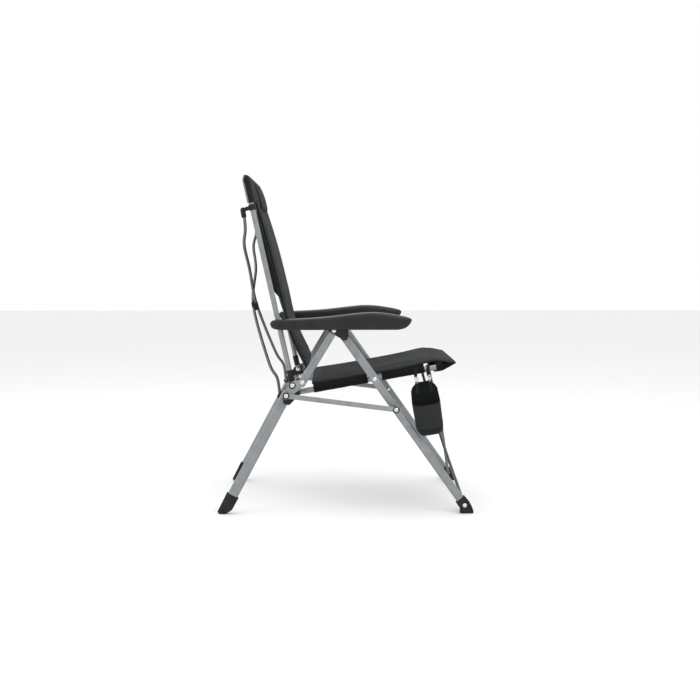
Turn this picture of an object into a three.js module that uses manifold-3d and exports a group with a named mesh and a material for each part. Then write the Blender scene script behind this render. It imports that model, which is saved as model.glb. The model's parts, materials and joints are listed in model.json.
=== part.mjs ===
// A folding camp chair with reclining back, padded arms and a hanging side pouch.
// Millimetres, +Z up. The sitter faces -Y and +X is the sitter's left.
// The origin is on the floor, midway between the feet.
import * as THREE from 'three';
import { mergeVertices } from 'three/addons/utils/BufferGeometryUtils.js';
import Module from 'manifold-3d';

const wasm = await Module();
wasm.setup();

// ---- driving dimensions ----
const FLOOR_DEPTH = 820;          // front of the front feet to back of the rear feet
const LEG_LAYER = 277.5;          // side plane of the legs and uprights, from the middle
const FOOT_PIVOT_HEIGHT = 26;     // front foot rivet above the floor
const FOOT_PIVOT_INSET = 28;      // front foot rivet behind the front of the boot
const FRONT_LEG_ANGLE = 54.6;     // degrees from the floor, rising backwards
const LEG_TO_STAY = 382;          // along the front leg, foot rivet to side stay pin
const LEG_TO_SEAT = 499;          // foot rivet to seat rail pin
const LEG_TO_ARM = 667;           // foot rivet to arm bracket pin
const RAIL_SLOPE = 10.2;          // degrees, the seat rises towards the front
const RAIL_BACK = 255;            // seat rail pin to knuckle pin
const RAIL_FRONT = 236;           // seat rail pin to the front end of the rail
const CROSS_PIN_FORWARD = 180;    // seat rail pin to the front cross rods
const BACK_LENGTH = 660;          // back pin to top of the upright
const BACK_LEAN = 12.5;           // degrees behind vertical
const ARM_PIN_RISE = 199;         // back pin to arm pin, along the upright
const REAR_LEG_ANGLE = 61.8;      // degrees from the floor
const LEG_WIDTH = 27;             // front leg and strut are flat-sided oval tubes
const LEG_THICKNESS = 15;
const REAR_LEG_WIDTH = 34;
const STRUT_WIDTH = 25;
const STRUT_THICKNESS = 12;
const RAIL_RADIUS = 9;
const UPRIGHT_RADIUS = 8.5;
const ROD_RADIUS = 5;
const TUBE_WALL = 1.5;
const PIN_RADIUS = 4;
const HEAD_RADIUS = 7;
const HEAD_HEIGHT = 2.4;
const RUNNING_GAP = 0.4;          // pin to hole
const SIDE_GAP = 0.7;             // between plates that slide past each other
const PLATE_THICKNESS = 3;
const STAY_WIDTH = 16;
const STAY_THICKNESS = 4;
const ARM_WIDTH = 56;
const ARM_WALL = 3.5;
const SEAT_THICKNESS = 18;
const BACK_THICKNESS = 18;
const SEAT_REAR_GAP = 55;       // knuckle pin to the back edge of the seat pad
const POUCH_WIDTH = 88;
const POUCH_HEIGHT = 165;
const POUCH_DEPTH = 36;
const POUCH_WALL = 5;
const POUCH_TILT = 9;
const STRAP_CLEARANCE = 18;       // strap ends above the pouch
const TIE_START = 18.4;           // wall that joins the bracket's cheeks, past the strut pin
const TIE_END = 20.8;

// ---- layers across the chair, each from its inner to its outer face ----
const main = [LEG_LAYER - LEG_THICKNESS / 2, LEG_LAYER + LEG_THICKNESS / 2];
const rail = [main[0] - 3 - 2 * RAIL_RADIUS, main[0] - 3];
const railX = (rail[0] + rail[1]) / 2;
const strut = [main[1] + 2 * SIDE_GAP + HEAD_HEIGHT / 2, 0];
strut[1] = strut[0] + STRUT_THICKNESS;
const strutX = (strut[0] + strut[1]) / 2;
const plate = [strut[1] + SIDE_GAP, strut[1] + SIDE_GAP + PLATE_THICKNESS];
const stay = [plate[1] + 1.2, plate[1] + 1.2 + STAY_THICKNESS];
const lug = [rail[0] - 9, rail[0] - 5];
const cheekIn = [main[0] - 5.4, main[0] - SIDE_GAP];
const cheekOut = [plate[0], plate[0] + 4];
const armMiddle = (cheekIn[0] + cheekOut[1]) / 2;
const clothHalf = armMiddle - ARM_WIDTH / 2 - 3;

// ---- pivots in the side view, as [y, z] ----
const rad = (degrees) => THREE.MathUtils.degToRad(degrees);
const step = ([y, z], degrees, length) => [
  y + length * Math.cos(rad(degrees)),
  z + length * Math.sin(rad(degrees)),
];
const angleOf = (a, b) => THREE.MathUtils.radToDeg(Math.atan2(b[1] - a[1], b[0] - a[0]));
const lengthOf = (a, b) => Math.hypot(b[0] - a[0], b[1] - a[1]);

const legUp = FRONT_LEG_ANGLE;
const footPin = [-FLOOR_DEPTH / 2 + FOOT_PIVOT_INSET, FOOT_PIVOT_HEIGHT];
const stayFront = step(footPin, legUp, LEG_TO_STAY);
const seatPin = step(footPin, legUp, LEG_TO_SEAT);
const armJointPin = step(footPin, legUp, LEG_TO_ARM);
const knucklePin = step(seatPin, -RAIL_SLOPE, RAIL_BACK);
const railTip = step(seatPin, 180 - RAIL_SLOPE, RAIL_FRONT);
const crossPin = step(seatPin, 180 - RAIL_SLOPE, CROSS_PIN_FORWARD);
const stayBack = [knucklePin[0] + 29.8, knucklePin[1] - 5.8];
const backPin = [knucklePin[0] + 10, knucklePin[1] + 26.9];
const strutFoot = [knucklePin[0] - 21.7, knucklePin[1] + 36.2];
const backUp = 90 - BACK_LEAN;
const armPin = step(backPin, backUp, ARM_PIN_RISE);
const strutTop = [armJointPin[0] + 32, armJointPin[1] + 18.6];
const legDown = -REAR_LEG_ANGLE;
const rearLegLength = (stayBack[1] - 14) / Math.sin(rad(REAR_LEG_ANGLE));

// ---- finishes ----
const finish = (color, roughness, metalness) =>
  new THREE.MeshStandardMaterial({ color, roughness, metalness });
const steel = finish(0x8d9193, 0.38, 0.85);
const bright = finish(0xd5d8da, 0.25, 0.95);
const plastic = finish(0x1c1e20, 0.45, 0.0);
const fabric = finish(0x34393c, 0.95, 0.0);
const rubber = finish(0x202223, 0.7, 0.0);

// ---- solids ----
function toSolid(geometry) {
  const bare = geometry.clone();
  bare.deleteAttribute('normal');
  bare.deleteAttribute('uv');
  const merged = mergeVertices(bare, 1e-3);
  return new wasm.Manifold(new wasm.Mesh({
    numProp: 3,
    vertProperties: new Float32Array(merged.attributes.position.array),
    triVerts: new Uint32Array(merged.index.array),
  }));
}

function toGeometry(solid) {
  const mesh = solid.getMesh();
  const geometry = new THREE.BufferGeometry();
  geometry.setAttribute('position', new THREE.BufferAttribute(mesh.vertProperties, 3));
  geometry.setIndex(new THREE.BufferAttribute(mesh.triVerts, 1));
  geometry.computeVertexNormals();
  return geometry;
}

function cut(geometry, ...tools) {
  return toGeometry(tools.reduce((body, tool) => body.subtract(toSolid(tool)), toSolid(geometry)));
}

function join(geometry, ...others) {
  return toGeometry(others.reduce((body, other) => body.add(toSolid(other)), toSolid(geometry)));
}

// A round bar lying across the chair, from x0 to x1, at [y, z].
function bar([y, z], x0, x1, radius, sides = 12) {
  const geometry = new THREE.CylinderGeometry(radius, radius, x1 - x0, sides);
  geometry.rotateZ(Math.PI / 2);
  geometry.translate((x0 + x1) / 2, y, z);
  return geometry;
}

function hole(point, radius = PIN_RADIUS + RUNNING_GAP) {
  return bar(point, 150, 400, radius);
}

function block([x0, x1], [y0, y1], [z0, z1]) {
  const geometry = new THREE.BoxGeometry(x1 - x0, y1 - y0, z1 - z0);
  geometry.translate((x0 + x1) / 2, (y0 + y1) / 2, (z0 + z1) / 2);
  return geometry;
}

// A flat shape drawn in the side view as [y, z] points, and given its thickness across the chair.
function sideExtrusion(points, [x0, x1]) {
  const shape = new THREE.Shape(points.map(([y, z]) => new THREE.Vector2(y, z)));
  const geometry = new THREE.ExtrudeGeometry(shape, { depth: x1 - x0, bevelEnabled: false });
  geometry.applyMatrix4(new THREE.Matrix4().makeBasis(
    new THREE.Vector3(0, 1, 0), new THREE.Vector3(0, 0, 1), new THREE.Vector3(1, 0, 0)));
  geometry.translate(x0, 0, 0);
  return geometry;
}

// The outline of a strap with round ends about two points.
function strapOutline(a, b, radius, arcs = 6) {
  const along = angleOf(a, b);
  const turn = (centre, from) => Array.from({ length: arcs + 1 }, (_, i) =>
    step(centre, from + (180 * i) / arcs, radius));
  return [...turn(b, along - 90), ...turn(a, along + 90)];
}

function stadium(width, thickness, arcs = 5) {
  const radius = thickness / 2;
  const half = width / 2 - radius;
  const shape = new THREE.Shape();
  const end = (sign) => Array.from({ length: arcs + 1 }, (_, i) => {
    const angle = rad(180 * i / arcs) + (sign > 0 ? 0 : Math.PI);
    return new THREE.Vector2(radius * Math.cos(angle), sign * half + radius * Math.sin(angle));
  });
  shape.setFromPoints([...end(1), ...end(-1)]);
  return shape;
}

// A hollow tube from a to b in the side view; its section's width lies in the side view.
function tube(section, hollow, a, b, x, before = 0, after = 0) {
  section.holes = [hollow];
  const length = lengthOf(a, b) + before + after;
  const geometry = new THREE.ExtrudeGeometry(section, { depth: length, bevelEnabled: false, curveSegments: 4 });
  geometry.translate(0, 0, -before);
  geometry.rotateX(rad(angleOf(a, b) - 90));
  geometry.translate(x, a[0], a[1]);
  return geometry;
}

function ovalTube(width, thickness, a, b, x, before, after) {
  const inner = stadium(width - 2 * TUBE_WALL, thickness - 2 * TUBE_WALL);
  return tube(stadium(width, thickness), inner, a, b, x, before, after);
}

function roundTube(radius, a, b, x, before, after) {
  const ring = (r) => new THREE.Shape().absarc(0, 0, r, 0, 2 * Math.PI);
  return tube(ring(radius), ring(radius - TUBE_WALL), a, b, x, before, after);
}

// A rivet across the chair: domed heads outside x0 and x1, with an optional collar between.
function rivet(point, x0, x1, collar) {
  const profile = [
    [0, x0 - HEAD_HEIGHT], [HEAD_RADIUS * 0.6, x0 - HEAD_HEIGHT], [HEAD_RADIUS, x0 - 0.9],
    [HEAD_RADIUS, x0], [PIN_RADIUS, x0],
  ];
  if (collar) {
    profile.push([PIN_RADIUS, collar[0]], [HEAD_RADIUS, collar[0]]);
    profile.push([HEAD_RADIUS, collar[1]], [PIN_RADIUS, collar[1]]);
  }
  profile.push([PIN_RADIUS, x1], [HEAD_RADIUS, x1], [HEAD_RADIUS, x1 + 0.9]);
  profile.push([HEAD_RADIUS * 0.6, x1 + HEAD_HEIGHT], [0, x1 + HEAD_HEIGHT]);
  const geometry = new THREE.LatheGeometry(profile.map(([r, h]) => new THREE.Vector2(r, h)), 10);
  geometry.rotateZ(-Math.PI / 2);
  geometry.translate(0, point[0], point[1]);
  return geometry;
}

// A bent rod: a round bar swept along a smooth curve through [x, y, z] points.
// A short pin with one head, for a joint whose inner member the pin doesn't reach.
function stud(point, x0, x1) {
  const profile = [
    [0, x0], [PIN_RADIUS, x0], [PIN_RADIUS, x1], [HEAD_RADIUS, x1], [HEAD_RADIUS, x1 + 0.9],
    [HEAD_RADIUS * 0.6, x1 + HEAD_HEIGHT], [0, x1 + HEAD_HEIGHT],
  ];
  const geometry = new THREE.LatheGeometry(profile.map(([r, h]) => new THREE.Vector2(r, h)), 10);
  geometry.rotateZ(-Math.PI / 2);
  geometry.translate(0, point[0], point[1]);
  return geometry;
}

function rod(points, radius, steps) {
  const curve = new THREE.CatmullRomCurve3(points.map((p) => new THREE.Vector3(...p)));
  const shape = new THREE.Shape().absarc(0, 0, radius, 0, 2 * Math.PI);
  return new THREE.ExtrudeGeometry(shape, { steps, curveSegments: 4, extrudePath: curve });
}

const chair = new THREE.Group();

function add(name, geometry, material, side = 1) {
  const mesh = new THREE.Mesh(geometry, material);
  mesh.name = name;
  mesh.scale.x = side;
  chair.add(mesh);
}

// ---- the boots: a rubber cap with a blind socket over the end of a leg ----
function frontBoot() {
  const ground = [[-FLOOR_DEPTH / 2, 0], [footPin[0] + 14, 0]];
  const outline = [
    ...ground, step(footPin, legUp - 90, 18), step(step(footPin, legUp, 24), legUp - 90, 18),
    step(step(footPin, legUp, 24), legUp + 90, 17), step(footPin, legUp + 90, 19),
    [-FLOOR_DEPTH / 2, 8],
  ];
  const body = sideExtrusion(outline, [main[0] - 3.2, main[1] + 3.2]);
  const socket = ovalTubeSolid(LEG_WIDTH + 0.8, LEG_THICKNESS + 0.8, footPin, stayFront, LEG_LAYER, 8.4);
  return cut(body, socket, hole(footPin));
}

function ovalTubeSolid(width, thickness, a, b, x, before) {
  const length = lengthOf(a, b) + before;
  const geometry = new THREE.ExtrudeGeometry(stadium(width, thickness), { depth: length, bevelEnabled: false });
  geometry.translate(0, 0, -before);
  geometry.rotateX(rad(angleOf(a, b) - 90));
  geometry.translate(x, a[0], a[1]);
  return geometry;
}

const rearToe = step(stayBack, legDown, rearLegLength);
function rearBoot() {
  const half = REAR_LEG_WIDTH / 2 + 3.5;
  const cuff = step(rearToe, 180 + legDown, 52);
  const heelY = FLOOR_DEPTH / 2;
  const outline = [
    [heelY - 26, 0], [heelY - 7, 0], [heelY, 7],
    step(cuff, legDown + 90, half), step(cuff, legDown - 90, half),
  ];
  const body = sideExtrusion(outline, [main[0] - 3.2, main[1] + 3.2]);
  const socket = ovalTubeSolid(REAR_LEG_WIDTH + 0.8, LEG_THICKNESS + 0.8, rearToe, stayBack, LEG_LAYER, 0.4);
  return cut(body, socket);
}

// ---- the knuckle that joins rear leg, seat rail, strut, stay and back ----
const aroundKnuckle = (dy, dz) => [knucklePin[0] + dy, knucklePin[1] + dz];
const plateOutline = [
  step(stayBack, 20, 15), step(stayBack, -20, 15), step(stayBack, -80, 14), step(stayBack, -140, 14),
  aroundKnuckle(2, 2), step(strutFoot, -150, 12), step(strutFoot, 160, 12), step(strutFoot, 100, 12),
  step(backPin, 90, 13), step(backPin, 30, 13),
];
const blockOutline = [
  step(stayBack, 25, 14), step(stayBack, -30, 15), step(stayBack, -75, 28), step(stayBack, -108, 32),
  aroundKnuckle(-17, 2), aroundKnuckle(-6, 17), aroundKnuckle(-1, 38), aroundKnuckle(18, 39),
];

// ---- the armrest: an open-bottomed moulding, slotted at the back for the upright ----
function armrest() {
  const [y, z] = armPin;
  const under = z - 19;
  const outline = [
    [y + 24, z - 6], [y + 27, z + 2], [y + 22, z + 11], [y + 6, z + 14], [y - 60, z + 17],
    [y - 140, z + 22], [y - 235, z + 33], [y - 280, z + 37], [y - 325, z + 35], [y - 368, z + 28],
    [y - 402, z + 22], [y - 421, z + 14], [y - 412, z + 2], [y - 392, z - 12], [y - 368, z - 18],
    [y - 350, under], [y - 20, under], [y + 12, z - 16],
  ];
  const half = ARM_WIDTH / 2;
  const body = sideExtrusion(outline, [armMiddle - half, armMiddle + half]);
  const trough = outline.slice(4, 10).map(([py, pz]) => [py, pz - 2 * ARM_WALL]);
  const inside = [[y + 40, z + 14 - 2 * ARM_WALL], ...trough, [y - 372, under - 5], [y + 40, under - 5]];
  const slot = block([LEG_LAYER - 11, LEG_LAYER + 11], [y - 15, y + 60], [z - 60, z + 60]);
  return cut(body, sideExtrusion(inside, [armMiddle - half + ARM_WALL, armMiddle + half - ARM_WALL]),
    slot, hole(armPin));
}

// ---- the arm bracket: two cheeks joined by a bar beyond the strut's end ----
function armBracket() {
  const cheek = strapOutline(armJointPin, step(strutTop, angleOf(armJointPin, strutTop), 7), 13);
  const outwards = angleOf(armJointPin, strutTop);
  const inner = sideExtrusion(cheek, cheekIn);
  const outer = sideExtrusion(cheek, cheekOut);
  const tie = sideExtrusion([
    step(step(strutTop, outwards, TIE_START), outwards + 90, 8), step(step(strutTop, outwards, TIE_END), outwards + 90, 7),
    step(step(strutTop, outwards, TIE_END), outwards - 90, 7), step(step(strutTop, outwards, TIE_START), outwards - 90, 8),
  ].reverse(), [cheekIn[0], cheekOut[1]]);
  return cut(join(inner, tie, outer), bar(strutTop, plate[0] - 2, 400, PIN_RADIUS + RUNNING_GAP),
    bar(armJointPin, 150, cheekIn[1] + 2, PIN_RADIUS + RUNNING_GAP));
}

for (const [word, side] of [['left', 1], ['right', -1]]) {
  const put = (name, geometry, material) => add(`${name}_${word}`, geometry, material, side);

  put('front_leg', cut(
    ovalTube(LEG_WIDTH, LEG_THICKNESS, footPin, armJointPin, LEG_LAYER, 8, 12),
    hole(footPin), hole(stayFront), hole(seatPin), hole(armJointPin)), steel);
  put('front_foot', frontBoot(), rubber);
  put('foot_rivet', rivet(footPin, main[0] - 3.7, main[1] + 3.7), bright);
  put('seat_rivet', rivet(seatPin, rail[0] - SIDE_GAP, main[1] + SIDE_GAP), bright);
  put('stay_front_rivet', rivet(stayFront, main[0] - SIDE_GAP, stay[1] + SIDE_GAP,
    [main[1] + SIDE_GAP, stay[0] - SIDE_GAP]), bright);
  put('arm_joint_rivet', rivet(armJointPin, cheekIn[0] - 0.5, main[1] + 0.2), bright);

  put('seat_rail', cut(
    roundTube(RAIL_RADIUS, knucklePin, railTip, railX, 11, 0),
    hole(knucklePin), hole(seatPin)), steel);

  put('rear_leg', cut(
    ovalTube(REAR_LEG_WIDTH, LEG_THICKNESS, stayBack, rearToe, LEG_LAYER, 12, 0), hole(stayBack)), steel);
  put('rear_foot', rearBoot(), rubber);
  put('knuckle_plate', cut(sideExtrusion(plateOutline, plate),
    hole(stayBack), hole(backPin), hole(strutFoot)), steel);
  put('knuckle_block', cut(sideExtrusion(blockOutline, [LEG_LAYER + UPRIGHT_RADIUS + SIDE_GAP, plate[0] - SIDE_GAP]),
    hole(stayBack), hole(backPin), hole(knucklePin, HEAD_RADIUS + RUNNING_GAP)), plastic);
  put('rail_rivet', rivet(knucklePin, rail[0] - SIDE_GAP, main[1] + 5,
    [rail[1] + SIDE_GAP, main[1]]), bright);
  put('stay_back_rivet', stud(stayBack, plate[1] + 0.5, stay[1] + SIDE_GAP), bright);
  put('strut_rivet', stud(strutFoot, strut[0] + 0.3, plate[1] + SIDE_GAP), bright);
  put('back_rivet', rivet(backPin, lug[0] - SIDE_GAP, plate[1] + SIDE_GAP,
    [rail[0], rail[1]]), bright);

  put('upright', cut(
    roundTube(UPRIGHT_RADIUS, backPin, step(backPin, backUp, BACK_LENGTH), LEG_LAYER, 11, 0),
    hole(backPin), hole(armPin)), steel);
  put('arm_rivet', rivet(armPin, armMiddle - ARM_WIDTH / 2 - 0.5, armMiddle + ARM_WIDTH / 2 + 0.5), bright);
  put('armrest', armrest(), plastic);
  put('side_stay', cut(sideExtrusion(strapOutline(stayBack, stayFront, STAY_WIDTH / 2), stay),
    hole(stayBack), hole(stayFront)), steel);
  put('arm_bracket', armBracket(), plastic);
  put('strut_top_rivet', stud(strutTop, strut[1] + 0.4, cheekOut[1] + 0.5), bright);
  put('strut', cut(ovalTube(STRUT_WIDTH, STRUT_THICKNESS, strutFoot, strutTop, strutX, 11, 11),
    hole(strutFoot), hole(strutTop)), steel);
}

// ---- seat pad: [distance forward of the knuckle pin, height over the rail's centre line] ----
const onSeat = (forward, up) => step(step(knucklePin, 180 - RAIL_SLOPE, forward), 90 - RAIL_SLOPE, up);
const seatFront = RAIL_BACK + RAIL_FRONT;
const seatUnder = RAIL_RADIUS + 1.5;
const seatTop = seatUnder + SEAT_THICKNESS;
const seatProfile = [
  [SEAT_REAR_GAP, seatUnder], [seatFront + 6, seatUnder], [seatFront + 42, 2], [seatFront + 49, 6],
  [seatFront + 24, 20], [seatFront - 11, seatTop], [SEAT_REAR_GAP + 15, seatTop],
  [SEAT_REAR_GAP + 1, seatTop - 6],
];
add('seat_pad', sideExtrusion(seatProfile.map(([u, v]) => onSeat(u, v)).reverse(), [-clothHalf, clothHalf]), fabric);

// ---- back panel and head pillow: [distance up the upright, distance in front of its centre line] ----
const onBack = (up, forward) => step(step(backPin, backUp, up), backUp + 90, forward);
const spread = BACK_LENGTH / 660;
const backFront = [
  [30, 70], [70, 66], [123, 56], [172, 52], [271, 51], [366, 49], [440, 45], [523, 37], [581, 30],
  [642, 22], [676, 16],
];
const backRear = backFront.map(([up, forward]) => [up, forward - BACK_THICKNESS]).reverse();
const backProfile = [...backFront, ...backRear].map(([up, forward]) => onBack(up * spread, forward));
add('back_panel', sideExtrusion(backProfile.reverse(), [-clothHalf, clothHalf]), fabric);

const pillow = [[552, 35], [560, 44], [581, 48], [612, 45], [642, 38], [655, 25], [642, 23], [581, 31]];
add('head_pillow', sideExtrusion(pillow.map(([up, forward]) => onBack(up * spread, forward)).reverse(),
  [-150, 150]), fabric);

// ---- the crossed rods: two bent rods held together by a clamp where they pass ----
function crossed(name, clampName, route, clampCentre, clampSize, tilt, steps) {
  const rods = [1, -1].map((side) => route(side));
  for (const [word, index] of [['left', 0], ['right', 1]]) {
    add(`${name}_${word}`, rod(rods[index], ROD_RADIUS, steps), steel);
  }
  const clamp = new THREE.BoxGeometry(...clampSize);
  clamp.rotateX(rad(tilt));
  clamp.translate(...clampCentre);
  const channels = rods.map((points) => rod(points, ROD_RADIUS + RUNNING_GAP, steps));
  add(clampName, cut(clamp, ...channels), plastic);
}

const rodPass = ROD_RADIUS + 1;
const backRodFoot = onBack(-31, -50);
const rodTopHeight = 574;
const backRodInside = lug[0] - ROD_RADIUS - 1;
const armInside = main[0] - 12;
const backRoute = (side) => [
  [backRodInside, -31, -50], [backRodInside, 27, -46], [210, 84, -63], [0, 265, -81 + side * rodPass],
  [-150, 387, -61], [-212, 465, -56], [-armInside, 513, -38], [-armInside, rodTopHeight - 10, -31],
].map(([x, up, forward]) => [side * x, ...onBack(up * (up > 100 ? spread : 1), forward)]);
crossed('back_cross_rod', 'back_cross_clamp', backRoute, [0, ...onBack(265 * spread, -81)],
  [26, 34, 20], BACK_LEAN, 28);

const frontRodTop = step(crossPin, -90, RAIL_RADIUS + 6);
const frontMiddle = [(footPin[0] + frontRodTop[0]) / 2, (footPin[1] + frontRodTop[1]) / 2];
const frontLean = angleOf(footPin, frontRodTop);
const frontRoute = (side) => [
  [side * (main[0] - 14), ...footPin], [0, ...step(frontMiddle, frontLean + 90, side * rodPass)],
  [-side * (rail[0] - 7), ...frontRodTop],
];
crossed('front_cross_rod', 'front_cross_clamp', frontRoute, [0, ...frontMiddle],
  [26, 34, 22], frontLean - 90, 12);

// ---- arms and lugs that hold the back rods on the uprights ----
for (const [word, side] of [['left', 1], ['right', -1]]) {
  const armShape = [[-8, -40], [-8, 13], [8, 13], [8, -40]].map(([up, forward]) =>
    onBack(rodTopHeight * spread + up, forward));
  const upright = bar([0, 0], 0, BACK_LENGTH, UPRIGHT_RADIUS + RUNNING_GAP);
  upright.rotateY(-Math.PI / 2);
  upright.rotateX(rad(backUp - 90));
  upright.translate(LEG_LAYER, ...backPin);
  add(`brace_arm_${word}`, cut(sideExtrusion(armShape, [armInside - 4, main[1] + 4]), upright), plastic, side);
  add(`brace_lug_${word}`, cut(sideExtrusion(strapOutline(backPin, backRodFoot, 9), lug), hole(backPin)),
    plastic, side);
}

// ---- the side pouch, hung outside the right leg by two straps ----
const pouchTop = [crossPin[0] + 24, crossPin[1] - 44];
const onPouch = (back, down) => step(step(pouchTop, -90 - POUCH_TILT, down), -POUCH_TILT, back);
const pouchHalf = POUCH_WIDTH / 2;
const pouchOutline = (inset, top) => [
  [-pouchHalf + 14 + inset, top], [-pouchHalf + 4 + inset, 16], [-pouchHalf + inset, 60],
  [-pouchHalf + 2 + inset, POUCH_HEIGHT - 22], [-pouchHalf + 18 + inset, POUCH_HEIGHT - inset],
  [pouchHalf - 18 - inset, POUCH_HEIGHT - inset], [pouchHalf - 2 - inset, POUCH_HEIGHT - 22],
  [pouchHalf - inset, 60], [pouchHalf - 4 - inset, 16], [pouchHalf - 14 - inset, top],
].map(([back, down]) => onPouch(back, down));
const pouchX = [main[1] + 7, main[1] + 7 + POUCH_DEPTH];
add('pouch', cut(sideExtrusion(pouchOutline(0, 0).reverse(), pouchX),
  sideExtrusion(pouchOutline(POUCH_WALL, -20).reverse(), [pouchX[0] + POUCH_WALL, pouchX[1] - POUCH_WALL])),
  fabric, -1);
for (const [word, back] of [['front', -20], ['rear', 20]]) {
  const [y, z] = onPouch(back, -STRAP_CLEARANCE);
  const railZ = seatPin[1] + (seatPin[0] - y) * Math.tan(rad(RAIL_SLOPE)) - RAIL_RADIUS - 2.5;
  const reach = pouchX[0] + POUCH_DEPTH / 2 - railX;
  const strap = new THREE.Shape([
    [railX - 7, railZ], [railX + 7, railZ], [railX + reach, z + 3], [railX + reach, z],
    [railX + reach - 4, z], [railX + 4, railZ - 3], [railX - 7, railZ - 3],
  ].map(([x, h]) => new THREE.Vector2(x, h)));
  const geometry = new THREE.ExtrudeGeometry(strap, { depth: 10, bevelEnabled: false });
  geometry.rotateX(Math.PI / 2);
  geometry.translate(0, y + 5, 0);
  add(`pouch_strap_${word}`, geometry, fabric, -1);
}

export default chair;
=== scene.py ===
# %% [markdown]
# # A folding camp chair
# The chair is a tubular frame that folds fore and aft, with a padded seat and a high padded back
# slung between the tubes, moulded armrests, two pairs of crossed rods and a small pouch hung from
# the right seat rail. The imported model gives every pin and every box, so each piece below is placed
# from them. Sizes are in metres, +Z is up, the sitter faces -Y and +X is the sitter's left.

# %% Load the frame
import json
import math
import bmesh
import bpy
import numpy as np
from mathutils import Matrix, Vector


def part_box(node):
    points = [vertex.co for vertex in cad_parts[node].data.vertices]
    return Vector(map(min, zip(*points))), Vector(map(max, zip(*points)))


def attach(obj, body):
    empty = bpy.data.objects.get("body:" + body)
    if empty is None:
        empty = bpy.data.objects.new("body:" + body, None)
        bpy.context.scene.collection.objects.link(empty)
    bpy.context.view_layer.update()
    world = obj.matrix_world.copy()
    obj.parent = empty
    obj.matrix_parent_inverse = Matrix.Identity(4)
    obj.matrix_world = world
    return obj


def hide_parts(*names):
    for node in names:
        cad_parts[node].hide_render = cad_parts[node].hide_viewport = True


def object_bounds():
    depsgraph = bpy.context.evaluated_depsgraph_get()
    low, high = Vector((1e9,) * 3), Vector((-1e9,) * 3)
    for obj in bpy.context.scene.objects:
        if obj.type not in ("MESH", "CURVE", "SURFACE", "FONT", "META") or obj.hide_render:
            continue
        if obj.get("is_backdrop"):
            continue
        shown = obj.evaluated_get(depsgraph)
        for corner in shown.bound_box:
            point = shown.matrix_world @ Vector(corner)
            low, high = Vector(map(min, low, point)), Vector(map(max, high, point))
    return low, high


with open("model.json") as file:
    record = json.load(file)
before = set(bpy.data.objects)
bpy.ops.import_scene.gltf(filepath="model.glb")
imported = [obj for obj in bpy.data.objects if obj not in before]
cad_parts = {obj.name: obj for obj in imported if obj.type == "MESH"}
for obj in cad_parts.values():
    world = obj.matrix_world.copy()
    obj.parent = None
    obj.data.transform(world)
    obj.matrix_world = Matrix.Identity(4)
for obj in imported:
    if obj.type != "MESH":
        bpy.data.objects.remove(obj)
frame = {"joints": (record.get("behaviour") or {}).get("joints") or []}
cad_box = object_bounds()
SIDES = (("left", 1), ("right", -1))
pins = {j["name"]: np.array(j["pos_m"][1:]) for j in frame["joints"]}
print("joints:", {name: pin.round(3).tolist() for name, pin in pins.items()})

# %% [markdown]
# ## Camera, light and floor
# A chair like this is shown from its side. The camera stands nearly four metres away with a short
# telephoto lens, a little over the armrest, so the far side shows slightly smaller behind the near
# one. Big soft lights from above and from both ends give long, gentle highlights on round tubes; a
# bare sun would give hard ones. The floor and the world are both pale, so that they run together.

# %% Camera
camera = bpy.data.objects.new("camera", bpy.data.cameras.new("camera"))
bpy.context.scene.collection.objects.link(camera)
camera.location = (-3.93, 0.034, 0.817)
PITCH, YAW = math.radians(4.57), math.radians(0.76)
look = Vector((math.cos(PITCH) * math.cos(YAW), -math.cos(PITCH) * math.sin(YAW), -math.sin(PITCH)))
camera.rotation_euler = look.to_track_quat("-Z", "Y").to_euler()
camera.data.lens = 59.4
camera.data.sensor_width = 36.0
bpy.context.scene.camera = camera
print("camera looks along", [round(v, 3) for v in look])

# %% Lights
def soft_light(name, place, target, size, power):
    light = bpy.data.objects.new(name, bpy.data.lights.new(name, "AREA"))
    bpy.context.scene.collection.objects.link(light)
    light.location = place
    light.rotation_euler = (Vector(target) - Vector(place)).to_track_quat("-Z", "Y").to_euler()
    light.data.shape = "RECTANGLE"
    light.data.size, light.data.size_y = size
    light.data.energy = power
    return light

middle = (0.0, 0.0, 0.55)
soft_light("key_light", (-2.4, -1.6, 2.9), middle, (2.4, 1.6), 40)
soft_light("top_light", (0.2, 0.6, 3.4), middle, (3.0, 3.0), 34)
soft_light("rear_light", (-1.6, 3.0, 1.8), middle, (1.2, 2.2), 14)
world = bpy.data.worlds.new("studio")
bpy.context.scene.world = world
world.use_nodes = True
world.node_tree.nodes["Background"].inputs["Color"].default_value = (1.0, 1.0, 1.0, 1.0)
world.node_tree.nodes["Background"].inputs["Strength"].default_value = 1.0
bpy.context.scene.view_settings.view_transform = "Standard"

# %% [markdown]
# ## Writing materials as sums
# A material is a small sum worked out at every point of a surface. Nodes could be placed one by one,
# but a sum is easier to read, so a Wire stands for one output socket and its operators add the Math
# nodes. Colours and vectors have their own Mix and Vector Math nodes, and every other node comes from
# one method.

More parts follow.
